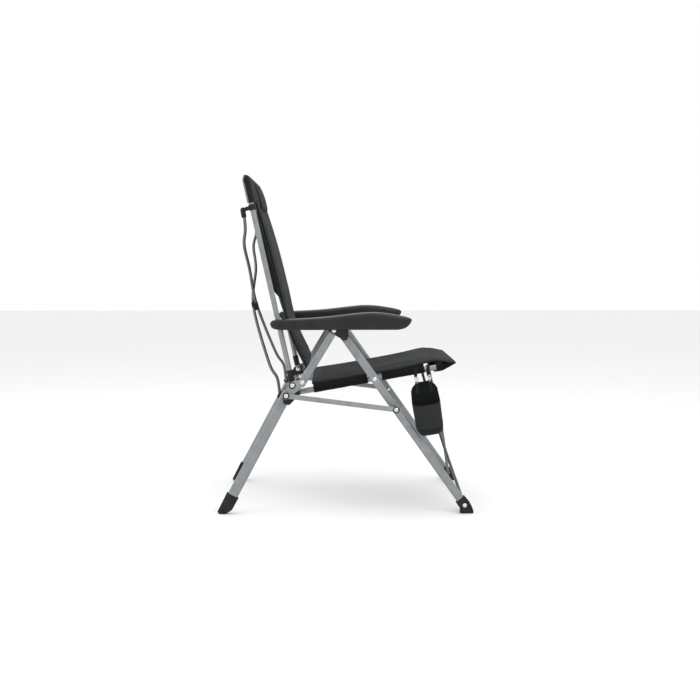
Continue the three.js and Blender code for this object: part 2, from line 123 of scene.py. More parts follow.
# %% The Wire class
class Wire:
    """One output socket of a shader tree."""

    def __init__(self, tree, socket=None):
        self.tree = tree
        self.socket = socket

    def node(self, kind, inputs, output=0, stops=None, **settings):
        made = self.tree.nodes.new(kind)
        for key, value in settings.items():
            setattr(made, key, value)
        if stops:
            for element, (place, shade) in zip(made.color_ramp.elements, stops):
                element.position = place
                element.color = (shade, shade, shade, 1.0)
        for key, value in inputs.items():
            if isinstance(value, Wire):
                self.tree.links.new(value.socket, made.inputs[key])
            else:
                made.inputs[key].default_value = value
        return Wire(self.tree, made.outputs[output])

    def maths(self, operation, *values):
        return self.node("ShaderNodeMath", dict(enumerate(values)), operation=operation)

    def __add__(self, other):
        return self.maths("ADD", self, other)

    def __sub__(self, other):
        return self.maths("SUBTRACT", self, other)

    def __rsub__(self, other):
        return self.maths("SUBTRACT", other, self)

    def __mul__(self, other):
        return self.maths("MULTIPLY", self, other)

    def __gt__(self, other):
        return self.maths("GREATER_THAN", self, other)

    __radd__ = __add__
    __rmul__ = __mul__

    def sin(self):
        return self.maths("SINE", self)

    def abs(self):
        return self.maths("ABSOLUTE", self)

    def blend(self, low, high):
        """The colour low where this is 0 and high where it is 1."""
        return self.node("ShaderNodeMix", {"Factor": self, 6: (*low, 1.0), 7: (*high, 1.0)}, 2,
                         data_type="RGBA")

    def noise(self, vector, scale, detail=3.0):
        return self.node("ShaderNodeTexNoise", {"Vector": vector, "Scale": scale, "Detail": detail})

    def step(self, low, high):
        """0 below low, 1 above high and even between them."""
        return self.node("ShaderNodeMapRange", {"Value": self, "From Min": low, "From Max": high})


def material(name, colour, roughness, bump=None, strength=0.3, reach=0.0004, **fixed):
    """Joins a finish's sums to a Principled shader. fixed holds the sockets that never vary."""
    made = bpy.data.materials.new(name)
    made.use_nodes = True
    tree = made.node_tree
    shader = tree.nodes["Principled BSDF"]
    start = Wire(tree)
    place = start.node("ShaderNodeTexCoord", {}, "Object")
    for socket, recipe in (("Base Color", colour), ("Roughness", roughness)):
        tree.links.new(recipe(start, place).socket, shader.inputs[socket])
    if bump:
        relief = start.node("ShaderNodeBump", {"Height": bump(start, place), "Strength": strength,
                                               "Distance": reach})
        tree.links.new(relief.socket, shader.inputs["Normal"])
    for key, value in fixed.items():
        socket = shader.inputs[key.replace("_", " ")]
        if callable(value):
            tree.links.new(value(start, place).socket, socket)
        else:
            socket.default_value = value
    made.diffuse_color = (0.3, 0.3, 0.3, 1.0)
    return made

print("materials are made by", material.__name__)

# %% [markdown]
# ## Metal
# The legs are steel tube with a silver-grey powder coat: a metal look, but with a fine pebbled skin
# and soft highlights. A plain metallic grey would look like bare steel, so noise at two scales breaks
# up the colour and the gloss, and a fine bump gives the pebbles. The rivets are polished.

# %% Coated tube, bright rivet and plain plate
def coated(name, shade, metallic, gloss, pebble=2400.0):
    dark = [s * 0.86 for s in shade]
    light = [min(1.0, s * 1.1) for s in shade]
    return material(
        name,
        lambda w, p: w.noise(p, 34.0, 5.0).step(0.3, 0.7).blend(dark, light),
        lambda w, p: w.noise(p, 60.0, 4.0) * 0.16 + gloss,
        lambda w, p: w.noise(p, pebble, 2.0),
        strength=0.18, reach=0.0003, Metallic=metallic)

tube_coat = coated("tube_coat", (0.245, 0.258, 0.265), 0.62, 0.27)
rod_coat = coated("rod_coat", (0.125, 0.132, 0.136), 0.6, 0.32)
plate_coat = coated("plate_coat", (0.25, 0.26, 0.266), 0.45, 0.38)
rivet_bright = coated("rivet_bright", (0.62, 0.63, 0.64), 0.95, 0.14, 900.0)
print("metals:", tube_coat.name, rod_coat.name, plate_coat.name, rivet_bright.name)

# %% [markdown]
# ## Moulded plastic and rubber
# The armrests are black nylon with a slight sheen, the brackets and clamps are duller, and the boots
# are rubber with dust in the grain. All three have a leather-like moulded grain, which Voronoi cells
# give better than plain noise, and worn patches in the gloss.

# %% Plastics
def moulded(name, shade, gloss, grain, coat=0.0):
    worn = [s * 1.5 + 0.004 for s in shade]
    return material(
        name,
        lambda w, p: w.noise(p, 24.0, 6.0).step(0.35, 0.75).blend(shade, worn),
        lambda w, p: w.noise(p, 45.0, 5.0) * 0.22 + gloss,
        lambda w, p: w.node("ShaderNodeTexVoronoi", {"Vector": p, "Scale": grain}),
        strength=0.16, reach=0.0004, Coat_Weight=coat, Coat_Roughness=0.22,
        Specular_IOR_Level=0.3)

arm_plastic = moulded("arm_plastic", (0.0037, 0.0043, 0.0045), 0.27, 900.0, 0.12)
fitting_plastic = moulded("fitting_plastic", (0.0039, 0.0041, 0.0044), 0.42, 1300.0)
boot_rubber = moulded("boot_rubber", (0.006, 0.0065, 0.0069), 0.55, 700.0)
print("plastics:", arm_plastic.name, fitting_plastic.name, boot_rubber.name)

# %% [markdown]
# ## Cloth
# The cover is a coarse slate polyester with a heathered look, edged with a black band. A weave is two
# sets of threads at right angles, so the bump is a product of two sine waves. The panels slope, so the
# waves are measured along and across each panel: a Mapping node turns the coordinates by its slope.

# %% Woven cloth
SEAT_SLOPE, BACK_SLOPE = math.radians(-10.2), math.radians(77.5)


def woven(name, shade, slope=BACK_SLOPE, thread=0.0021, band=None, edge=None):
    """A weave of one thread; band is the colour of the border outside edge, metres off the middle."""
    def turned(w, p):
        return w.node("ShaderNodeMapping", {"Vector": p, "Rotation": (-slope, 0.0, 0.0)})

    def part(w, p, axis):
        return w.node("ShaderNodeSeparateXYZ", {"Vector": turned(w, p)}, axis)

    def weave(w, p):
        turn = 2.0 * math.pi / thread
        return (part(w, p, "X") * turn).sin() * (part(w, p, "Y") * turn).sin() * 0.5 + 0.5

    def colour(w, p):
        heather = w.noise(p, 420.0, 2.0) * 0.6 + w.noise(p, 9.0, 3.0) * 0.4
        dark, light = [s * 0.72 for s in shade], [s * 1.3 for s in shade]
        main = (heather + weave(w, p) * 0.2).step(0.35, 0.85).blend(dark, light)
        if edge is None:
            return main
        inside = (part(w, p, "X").abs()).step(edge - 0.0012, edge)
        return w.node("ShaderNodeMix", {"Factor": inside, 6: main, 7: (*band, 1.0)}, 2,
                      data_type="RGBA")

    return material(name, colour, lambda w, p: w.noise(p, 60.0) * 0.12 + 0.8,
                    lambda w, p: weave(w, p) + w.noise(p, 900.0) * 0.6,
                    strength=0.5, reach=0.0005, Sheen_Weight=0.04, Sheen_Roughness=0.45,
                    Specular_IOR_Level=0.16)

seat_cloth = woven("seat_cloth", (0.0114, 0.0141, 0.0156), SEAT_SLOPE, band=(0.0085, 0.0105, 0.0115),
                   edge=0.206)
back_cloth = woven("back_cloth", (0.0091, 0.0118, 0.0129), band=(0.010, 0.0125, 0.0135), edge=0.222)
pillow_cloth = woven("pillow_cloth", (0.0084, 0.0106, 0.0118))
# This black is the cloth of the sleeves, hem and pouch, and it also paints the shade strips beside the back.
black_cloth = woven("black_cloth", (0.0027, 0.0032, 0.0035), SEAT_SLOPE, 0.0017)
binding_cloth = woven("binding_cloth", (0.01, 0.0115, 0.0125), thread=0.0013)
grey_piping = woven("grey_piping", (0.17, 0.18, 0.185), thread=0.0013)
slate_webbing = woven("slate_webbing", (0.0096, 0.012, 0.0132), thread=0.0016)
stitch_thread = woven("stitch_thread", (0.06, 0.066, 0.07), thread=0.0006)
print("cloths:", seat_cloth.name, back_cloth.name, black_cloth.name)

# %% Pouch net
def net_holes(w, p):
    turn = 2.0 * math.pi / 0.0034
    y = w.node("ShaderNodeSeparateXYZ", {"Vector": p}, "Y")
    z = w.node("ShaderNodeSeparateXYZ", {"Vector": p}, "Z")
    return 1.0 - ((y * turn).sin() * (z * turn).sin() > 0.55)

pouch_net = material(
    "pouch_net",
    lambda w, p: w.noise(p, 300.0).blend((0.005, 0.006, 0.0065), (0.012, 0.014, 0.015)),
    lambda w, p: w.noise(p, 80.0) * 0.1 + 0.78, Alpha=net_holes)
print("net:", pouch_net.name)

# %% [markdown]
# ## Making meshes
# Most of the frame is one of three shapes. A loft joins rings of points, which gives tubes and
# tapered mouldings. A slab is a flat part cut to an outline with rounded edges, which gives plates,
# brackets and boots. A turned part is a profile spun about a pin, which gives rivets and washers.
# Building them from numbers keeps their edges clean, where a boolean would leave slivers.

# %% Lofts
def piece_from(name, points, faces, finish, body=None, slot=None, replaces=()):
    """Makes a mesh object from points and faces, and gives it its finish and its body."""
    mesh = bpy.data.meshes.new(name)
    mesh.from_pydata([tuple(map(float, p)) for p in points], [], faces)
    work = bmesh.new()
    work.from_mesh(mesh)
    bmesh.ops.remove_doubles(work, verts=work.verts, dist=1e-6)
    bmesh.ops.recalc_face_normals(work, faces=work.faces)
    work.to_mesh(mesh)
    work.free()
    made = bpy.data.objects.new(name, mesh)
    bpy.context.scene.collection.objects.link(made)
    mesh.materials.append(finish)
    smooth(made)
    if body:
        belongs(made, body, replaces)
    return made


def belongs(made, body, replaces=()):
    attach(made, body)
    if replaces:
        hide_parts(*replaces)
    return made


def smooth(made, angle=40.0):
    """Shades faces smoothly, except over edges sharper than the angle."""
    mesh = made.data
    work = bmesh.new()
    work.from_mesh(mesh)
    for face in work.faces:
        face.smooth = True
    for edge in work.edges:
        edge.smooth = len(edge.link_faces) == 2 and edge.calc_face_angle(0.0) < math.radians(angle)
    work.to_mesh(mesh)
    work.free()


def apply_modifiers(made):
    """Swaps an object's mesh for what its modifiers make of it."""
    depsgraph = bpy.context.evaluated_depsgraph_get()
    real = bpy.data.meshes.new_from_object(made.evaluated_get(depsgraph))
    made.modifiers.clear()
    made.data = real


def loft_faces(rings, count, start=0, caps=True, around=False):
    """Faces that join rings of count points; around joins the last ring to the first."""
    faces = []
    for r in range(rings if around else rings - 1):
        a, b = start + r * count, start + (r + 1) % rings * count
        faces += [(a + i, a + (i + 1) % count, b + (i + 1) % count, b + i) for i in range(count)]
    if caps and not around:
        faces.append(tuple(range(start, start + count)))
        faces.append(tuple(range(start + (rings - 1) * count, start + rings * count))[::-1])
    return faces


def curve_through(points, count):
    """Even points along a smooth line through the given ones."""
    given = np.array(points, float)
    padded = np.vstack([2 * given[0] - given[1], given, 2 * given[-1] - given[-2]])
    line = []
    for a, b, c, d in zip(padded, padded[1:], padded[2:], padded[3:]):
        for t in np.linspace(0, 1, 24, endpoint=False):
            line.append(0.5 * (2 * b + (c - a) * t + (2 * a - 5 * b + 4 * c - d) * t**2
                               + (3 * b - a - 3 * c + d) * t**3))
    line = np.array(line + [given[-1]])
    run = np.concatenate([[0], np.cumsum(np.linalg.norm(np.diff(line, axis=0), axis=1))])
    even = np.linspace(0, run[-1], count)
    return np.stack([np.interp(even, run, line[:, k]) for k in range(line.shape[1])], axis=1)

print("a lofted ring pair has", len(loft_faces(2, 8)), "faces")

# %% Slabs and turned parts
def rounded(outline, passes=2, reach=0.006):
    """Cuts the corners of a closed outline round, within reach of each corner."""
    corners = np.array(outline, float)
    points = []
    neighbours = zip(np.roll(corners, 1, axis=0), corners, np.roll(corners, -1, axis=0))
    for before, corner, following in neighbours:
        for other in (before, following):
            side = other - corner
            length = np.linalg.norm(side) + 1e-9
            step = min(reach, length * 0.45)
            if other is following:
                points.append(corner)
            points.append(corner + side / length * step)
    points = np.array(points)
    for _ in range(passes):
        after = np.roll(points, -1, axis=0)
        points = np.stack([points * 0.75 + after * 0.25, points * 0.25 + after * 0.75], 1).reshape(-1, 2)
    return points


def slab_shape(outline, x0, x1, edge, steps=4):
    """Points and faces of a flat part between x0 and x1, with edges rounded to a radius."""
    points = np.array(outline, float)
    side = np.roll(points, -1, axis=0) - np.roll(points, 1, axis=0)
    area = np.sum(points[:, 0] * np.roll(points[:, 1], -1) - points[:, 1] * np.roll(points[:, 0], -1))
    inward = np.stack([-side[:, 1], side[:, 0]], 1) * (1 if area > 0 else -1)
    inward /= np.linalg.norm(inward, axis=1)[:, None] + 1e-9
    rings = []
    for x, turn in ((x0, 1), (x1, -1)):
        half = []
        for t in np.linspace(0, math.pi / 2, steps):
            inset = edge * (1 - math.sin(t))
            ring = points + inward * inset
            half.append(np.column_stack([np.full(len(ring), x + turn * edge * (1 - math.cos(t))), ring]))
        rings += half if turn > 0 else half[::-1]
    return np.vstack(rings), loft_faces(len(rings), len(points))


def turns(count):
    """Even angles round a circle."""
    return np.linspace(0, 2 * math.pi, count, endpoint=False)


def boxy(value, power):
    """A sine or cosine pushed towards 1, so that a circle drawn with it nears a square."""
    return math.copysign(abs(value) ** power, value)


def turned_shape(profile, centre, count=28, around=False):
    """A profile of (x, radius) spun about the X line through a point (y, z)."""
    angles = turns(count)
    rings = [np.column_stack([np.full(count, x), centre[0] + r * np.cos(angles),
                              centre[1] + r * np.sin(angles)]) for x, r in profile]
    return np.vstack(rings), loft_faces(len(profile), count, around=around)


def together(shapes):
    """Puts several shapes in one list of points and one of faces."""
    points, faces, start = [], [], 0
    for p, f in shapes:
        points.append(np.array(p, float))
        faces += [tuple(i + start for i in face) for face in f]
        start += len(p)
    return np.vstack(points), faces


def mirrored(shape):
    """The same shape on the other side of the chair."""
    points, faces = shape
    return np.array(points) * (-1, 1, 1), [face[::-1] for face in faces]


def on_side(shape, side):
    return shape if side > 0 else mirrored(shape)


def pair(title, shape, finish, body, slot, node=None):
    """Makes a piece of the left side and its twin on the right; node is what they stand for."""
    made = []
    for word, side in SIDES:
        stands_for = [f"{node}_{word}"] if node else ()
        made.append(piece_from(f"{title}_{word}", *on_side(shape, side), finish, body, slot, stands_for))
    return made

print("a rivet ring has", len(turns(28)), "points")

# %% [markdown]
# ## Places on the chair
# Two slanted rulers serve the soft parts: one along the seat rail from the knuckle pin, and one up the
# back tube from its pin. Both come from the joints, so they stay right if the frame is changed.

# %% Rulers and layers
def unit(vector):
    return vector / np.linalg.norm(vector)

knuckle, seat_pin, back_pin = pins["rear_leg_fold"], pins["seat_fold"], pins["back_fold"]
arm_pin, stay_front, arm_joint = pins["arm_fold"], pins["stay_fold"], pins["arm_bracket_fold"]
strut_foot, cross_pin, pouch_top = pins["strut_fold"], pins["front_cross_fold"], pins["pouch_hang"]
rail_run = unit(seat_pin - knuckle)
rail_up = np.array([rail_run[1], -rail_run[0]])
back_run = unit(arm_pin - back_pin)
back_front = np.array([-back_run[1], back_run[0]])


def on_seat(forward, up):
    return knuckle + rail_run * forward + rail_up * up


def on_back(up, forward):
    return back_pin + back_run * up + back_front * forward


def middle_of(node):
    low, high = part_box(node)
    return np.array([(low.y + high.y) / 2, (low.z + high.z) / 2])


def layer(node):
    """A node's inner and outer side on the left of the chair."""
    low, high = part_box(node)
    return low.x, high.x

stay_back, strut_top = middle_of("stay_back_rivet_left"), middle_of("strut_top_rivet_left")
foot_pin = middle_of("foot_rivet_left")
leg_layer, rail_layer = layer("front_leg_left"), layer("seat_rail_left")
strut_layer, stay_layer = layer("strut_left"), layer("side_stay_left")
leg_x, rail_x = sum(leg_layer) / 2, sum(rail_layer) / 2
cloth_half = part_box("seat_pad")[1].x
rail_long = (np.array(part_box("seat_rail_left")[0])[1:] - knuckle) @ rail_run
print("cloth half width", round(cloth_half, 4), "leg plane", round(leg_x, 4))

# %% [markdown]
# ## Frame tubes
# The legs and struts are flat-sided oval tube and the rails and back tubes are round. The packed
# solids have few sides, which is right for collision but shows as flats in a highlight, so each tube
# is made again on the same axis with a smooth section and a real wall. Its ends are open or plugged
# as on the real frame.

# %% Tubes
def oval_section(width, thickness, corner=10):
    """A flat-sided oval, as (along x, across the leg)."""
    radius, half = thickness / 2, (width - thickness) / 2
    turns = np.linspace(0, math.pi, corner)
    top = np.column_stack([radius * np.cos(turns), half + radius * np.sin(turns)])
    return np.vstack([top, -top])


def tube_shape(start, end, x, width, thickness, wall=0.0015):
    """A hollow tube in a side plane, from one (y, z) point to another."""
    run = unit(np.array(end) - np.array(start))
    across = np.array([-run[1], run[0]])
    rings = []
    for grow, points in ((0, (start, end)), (wall, (end, start))):
        section = oval_section(width - 2 * grow, thickness - 2 * grow)
        for point in points:
            yz = np.array(point) + section[:, 1:] * across
            rings.append(np.column_stack([x + section[:, 0], yz]))
    return np.vstack(rings), loft_faces(4, len(section), around=True)


def along(a, b, before=0.0, after=0.0):
    run = unit(np.array(b) - np.array(a))
    return a - run * before, b + run * after

REAR_LEAN, TOE_HEIGHT, PIN_MARGIN = math.radians(61.8), 0.014, 0.011
rear_run = np.array([math.cos(REAR_LEAN), -math.sin(REAR_LEAN)])
rear_toe = stay_back + rear_run * ((stay_back[1] - TOE_HEIGHT) / -rear_run[1])
upright_top = on_back(0.66, 0.0)
strut_x, rail_tip = sum(strut_layer) / 2, on_seat(rail_long - 0.002, 0)
for node, ends, x, width, thickness, body in (
    ("front_leg", along(foot_pin, arm_joint, 0.008, 0.012), leg_x, 0.027, 0.015, "front_frame"),
    ("rear_leg", along(stay_back, rear_toe, 0.012), leg_x, 0.034, 0.015, "rear_frame"),
    ("strut", along(strut_foot, strut_top, PIN_MARGIN, PIN_MARGIN), strut_x, 0.025, 0.012, "struts"),
    ("upright", along(back_pin, upright_top, PIN_MARGIN), leg_x, 0.01701, 0.017, "back"),
    ("seat_rail", along(knuckle, rail_tip, PIN_MARGIN), rail_x, 0.01801, 0.018, "seat"),
):
    pair(f"{node}_tube", tube_shape(*ends, x, width, thickness), tube_coat, body, "tube_metal", node)
print("rear leg toe at", rear_toe.round(3))

# %% [markdown]
# ## Side stays
# Each stay is a flat steel strip with round ends. A slab with a small edge radius gives the rolled
# edge that catches the light. It is a shade lighter than the tubes because it is flat to the eye.

# %% Stays
def strap_outline(a, b, radius, arcs=12):
    run = math.atan2(*(np.array(b) - np.array(a))[::-1])
    ends = []
    for centre, start in ((b, run - math.pi / 2), (a, run + math.pi / 2)):
        for t in np.linspace(start, start + math.pi, arcs):
            ends.append(np.array(centre) + radius * np.array([math.cos(t), math.sin(t)]))
    return np.array(ends)

strip = slab_shape(strap_outline(stay_back, stay_front, 0.008), *stay_layer, 0.0012)
pair("side_stay_strip", strip, plate_coat, "stays", "tube_metal", "side_stay")
print("stay length", round(float(np.linalg.norm(stay_back - stay_front)), 3))

# %% [markdown]
# ## Padded cloth
# The seat and the back are two layers of cloth with thin foam between them, sewn through along their
# borders. They could be carved by hand, but a sewn pad gets its shape from being stuffed, so the cloth
# simulation stuffs it: each pad starts as a thin closed quilt, the points on its seams are pinned, and
# pressure swells what lies between them. A limit on how far a point may move keeps the pad in its box.

# %% A quilt of points
def quilt(place, across, along_count, thickness, seams):
    """A closed pad. place(s, t, h) gives the point at s across, t along and h out of the middle."""
    s_line, t_line = np.linspace(-1, 1, across), np.linspace(0, 1, along_count)
    points, sewn = [], []
    for face in (1, -1):
        for t in t_line:
            for s in s_line:
                edge = min(1 - abs(s), 12 * t, 12 * (1 - t)) * 6
                closeness = min([1.0] + [seam(s, t) for seam in seams])
                height = thickness / 2 * (0.35 + 0.65 * min(1, max(0, edge)) ** 0.5)
                height *= 0.55 + 0.45 * closeness
                points.append(place(s, t, face * height))
                sewn.append(closeness < 0.5)
    faces, layer_size = [], across * along_count
    for j in range(along_count - 1):
        for i in range(across - 1):
            a = j * across + i
            faces.append((a, a + 1, a + across + 1, a + across))
            faces.append(tuple(layer_size + k for k in (a, a + across, a + across + 1, a + 1)))
    rim = list(range(across)) + [j * across + across - 1 for j in range(1, along_count)]
    rim += [(along_count - 1) * across + i for i in range(across - 2, -1, -1)]
    rim += [j * across for j in range(along_count - 2, 0, -1)]
    for a, b in zip(rim, rim[1:] + rim[:1]):
        faces.append((a, layer_size + a, layer_size + b, b))
    edge_points = set(rim)
    pinned = [k for k, flag in enumerate(sewn) if flag or k % layer_size in edge_points]
    return points, faces, pinned

# %% Stuffing it
def stuffed(name, points, faces, pinned, finish, pressure, limit):
    """Swells a quilt with cloth simulation, and gives a mesh object that is plain again."""
    made = piece_from(name, points, faces, finish)
    mesh = made.data
    held = made.vertex_groups.new(name="seams")
    held.add(pinned, 1.0, "REPLACE")
    cloth = made.modifiers.new("stuffing", "CLOTH")
    cloth.settings.quality = 5
    cloth.settings.mass = 0.3
    cloth.settings.use_pressure = True
    cloth.settings.uniform_pressure_force = pressure
    cloth.settings.effector_weights.gravity = 0.0
    cloth.settings.vertex_group_mass = "seams"
    cloth.settings.tension_stiffness = cloth.settings.compression_stiffness = 15.0
    cloth.settings.bending_stiffness = 0.6
    scene = bpy.context.scene
    for number in range(1, 21):
        scene.frame_set(number)
    depsgraph = bpy.context.evaluated_depsgraph_get()
    swollen = made.evaluated_get(depsgraph).data.vertices
    moves = np.array([v.co for v in swollen]) - np.array([v.co for v in mesh.vertices])
    length = np.linalg.norm(moves, axis=1)[:, None]
    moves *= np.minimum(1.0, limit / np.maximum(length, 1e-9))
    made.modifiers.remove(cloth)
    made.vertex_groups.remove(held)
    for vertex, move in zip(mesh.vertices, moves):
        vertex.co += Vector(move)
    scene.frame_set(1)
    print(name, "swelled by", round(float(length.max()) * 1000, 1), "mm, kept to", limit * 1000)
    finer = made.modifiers.new("finer", "SUBSURF")
    finer.levels = finer.render_levels = 1
    apply_modifiers(made)
    made.data.polygons.foreach_set("use_smooth", [True] * len(made.data.polygons))
    return made


def seam_across(t0, width, s0=1.1):
    return lambda s, t: abs(t - t0) / width if abs(s) < s0 else 1.0


def seam_along(s0, width):
    return lambda s, t: abs(abs(s) - s0) / width


def station(line, t):
    """The point at t, from 0 to 1, along a line and the direction square to the line there."""
    k = t * (len(line) - 1)
    low = min(int(k), len(line) - 2)
    run = unit(line[low + 1] - line[low])
    return line[low] * (1 - k + low) + line[low + 1] * (k - low), np.array([-run[1], run[0]])

print("simulation runs")

# %% [markdown]
# ## Seat pad
# The seat hangs between the two side rails, so it sags a little in the middle, and its front edge rolls
# down over the thigh. A border about 45 mm wide is sewn all round, and the front roll has its own seam.

# %% Seat pad
seat_front = rail_long
seat_line = curve_through([(0.056, 0.0215), (0.2, 0.0185), (0.36, 0.0195), (seat_front - 0.035, 0.0235),
                           (seat_front - 0.004, 0.0195), (seat_front + 0.022, 0.0115),
                           (seat_front + 0.044, 0.0045)], 97)
SAG_END = 0.94


def seat_place(s, t, h):
    point, outward = station(seat_line, t)
    thin = 1.0 - 0.6 * max(0.0, (t - 0.9) / 0.1)
    sag = 0.0
    if 0 < t < SAG_END:
        sag = 0.007 * (1 - s * s) * math.sin(math.pi * min(1.0, t * 1.06)) ** 0.5
    lift = -0.0030 * abs(s) ** 8
    forward, up = point + outward * h * thin
    spot = on_seat(forward, up - sag + lift)
    half = cloth_half * (1.0 - 0.012 * math.cos(2 * math.pi * t))
    return (s * half, spot[0], spot[1])

BORDER = 0.82
seat_seams = [seam_along(BORDER, 0.035), seam_across(0.10, 0.018, BORDER + 0.01),
              seam_across(0.885, 0.016)]
seat_quilt = quilt(seat_place, 75, 73, 0.0125, seat_seams)
seat_pad = stuffed("seat_cushion", *seat_quilt, seat_cloth, 3.2, 0.006)
belongs(seat_pad, "seat", ["seat_pad"])
print("seat pad has", len(seat_pad.data.polygons), "faces")

# %% [markdown]
# ## Back pad
# The back is one long pad that stands proud of the tubes. Its front follows the lumbar curve, its top
# is rounded, and a border is sewn down each side. It is stuffed in the same way as the seat.

# %% Back pad
back_line = curve_through([(0.034, 0.056), (0.07, 0.050), (0.123, 0.036), (0.172, 0.029), (0.271, 0.027),
                           (0.366, 0.0255), (0.44, 0.0230), (0.523, 0.0180), (0.581, 0.0130), (0.630, 0.0085),
                           (0.655, 0.0060), (0.672, 0.0030)], 121)


def back_place(s, t, h):
    point, outward = station(back_line, t)
    thin = 1.0 - 0.35 * max(0.0, (t - 0.93) / 0.07)
    up, forward = point + outward * h * thin
    hollow = 0.006 * (1 - s * s) * math.sin(math.pi * t)
    spot = on_back(up, forward - hollow)
    corner = 1.0 - 0.05 * max(0.0, (t - 0.95) / 0.05) ** 2
    return (s * (cloth_half + 0.001) * corner, spot[0], spot[1])


def pad_forward(up):
    """How far the middle of the back pad stands in front of the tubes, at one height."""
    return float(np.interp(up, back_line[:, 0], back_line[:, 1]))

BACK_BORDER = 0.885
back_seams = [seam_along(BACK_BORDER, 0.028), seam_across(0.84, 0.012, BACK_BORDER),
              seam_across(0.30, 0.010, BACK_BORDER)]
back_quilt = quilt(back_place, 71, 91, 0.0145, back_seams)
back_pad = stuffed("back_cushion", *back_quilt, back_cloth, 3.0, 0.005)
belongs(back_pad, "back", ["back_panel"])
print("back pad has", len(back_pad.data.polygons), "faces")

# %% [markdown]
# ## Head pillow
# The pillow is a small stuffed bolster on an elastic band. It is a lens in section, so its quilt is
# thick in the middle and thin at its sewn rim, and it stands off the back a little at its ends.

# %% Head pillow
def pillow_place(s, t, h):
    up = 0.572 + 0.088 * t
    base = pad_forward(up) + 0.0050
    bulge = 0.5 + 9.0 * (1 - abs(s) ** 5) * math.sin(math.pi * t) ** 0.6 * abs(h)
    out = 0.0025 * math.sin(math.pi * t) + (h * 1.5 if h > 0 else h * 0.3) * (1 + bulge * 0.4)
    spot = on_back(up, base + out)
    round_end = 0.15 * (1.0 - 0.10 * abs(2 * t - 1) ** 3)
    return (s * round_end, spot[0], spot[1])

pillow_quilt = quilt(pillow_place, 61, 27, 0.0095, [])
pillow = stuffed("head_pillow_bolster", *pillow_quilt, pillow_cloth, 2.5, 0.0035)
belongs(pillow, "back", ["head_pillow"])
print("pillow from", [round(v, 3) for v in pillow.bound_box[0]])

# %% [markdown]
# ## Lines of cord, rod and stitching
# Piping, bent rods and rows of stitches all follow a line. A curve object with a bevel would do for the
# rods, but the stitches have to repeat along the line, so both are small Geometry Nodes trees: one runs
# a round section along the line, and one sets a stitch at even steps. Both take their sizes as inputs.

# %% Two Geometry Nodes trees
def new_tree(name, inputs):
    tree = bpy.data.node_groups.new(name, "GeometryNodeTree")
    tree.interface.new_socket("Geometry", in_out="INPUT", socket_type="NodeSocketGeometry")
    for title, kind in inputs:
        tree.interface.new_socket(title, in_out="INPUT", socket_type=kind)
    tree.interface.new_socket("Geometry", in_out="OUTPUT", socket_type="NodeSocketGeometry")
    return tree, tree.nodes.new("NodeGroupInput"), tree.nodes.new("NodeGroupOutput")


def finish_tree(tree, source, entry, exit_node):
    """Ends a tree: real geometry, then the finish that was asked for."""
    real = tree.nodes.new("GeometryNodeRealizeInstances")
    dress = tree.nodes.new("GeometryNodeSetMaterial")
    tree.links.new(source, real.inputs[0])
    tree.links.new(real.outputs[0], dress.inputs["Geometry"])
    tree.links.new(entry.outputs["Finish"], dress.inputs["Material"])
    tree.links.new(dress.outputs[0], exit_node.inputs[0])

rod_tree, entry, leave = new_tree("rod along a line", [
    ("Radius", "NodeSocketFloat"), ("Sides", "NodeSocketInt"), ("Finish", "NodeSocketMaterial")])
line, ring, sweep = [rod_tree.nodes.new(kind) for kind in (
    "GeometryNodeMeshToCurve", "GeometryNodeCurvePrimitiveCircle", "GeometryNodeCurveToMesh")]
rod_tree.links.new(entry.outputs["Geometry"], line.inputs[0])
rod_tree.links.new(entry.outputs["Radius"], ring.inputs["Radius"])
rod_tree.links.new(entry.outputs["Sides"], ring.inputs["Resolution"])
rod_tree.links.new(line.outputs[0], sweep.inputs["Curve"])
rod_tree.links.new(ring.outputs[0], sweep.inputs["Profile Curve"])
sweep.inputs["Fill Caps"].default_value = True
finish_tree(rod_tree, sweep.outputs[0], entry, leave)

stitch_tree, entry, leave = new_tree("stitches along a line", [
    ("Step", "NodeSocketFloat"), ("Length", "NodeSocketFloat"), ("Radius", "NodeSocketFloat"),
    ("Finish", "NodeSocketMaterial")])
line, places, stitch, rows = [stitch_tree.nodes.new(kind) for kind in (
    "GeometryNodeMeshToCurve", "GeometryNodeCurveToPoints", "GeometryNodeMeshCylinder",
    "GeometryNodeInstanceOnPoints")]
places.mode = "LENGTH"
stitch.inputs["Vertices"].default_value = 6
for source, target in (
    (entry.outputs["Geometry"], line.inputs[0]), (line.outputs[0], places.inputs["Curve"]),
    (entry.outputs["Step"], places.inputs["Length"]), (entry.outputs["Radius"], stitch.inputs["Radius"]),
    (entry.outputs["Length"], stitch.inputs["Depth"]), (places.outputs["Points"], rows.inputs["Points"]),
    (places.outputs["Rotation"], rows.inputs["Rotation"]),
    (stitch.outputs["Mesh"], rows.inputs["Instance"]),
):
    stitch_tree.links.new(source, target)
finish_tree(stitch_tree, rows.outputs[0], entry, leave)
print("trees:", [tree.name for tree in bpy.data.node_groups])

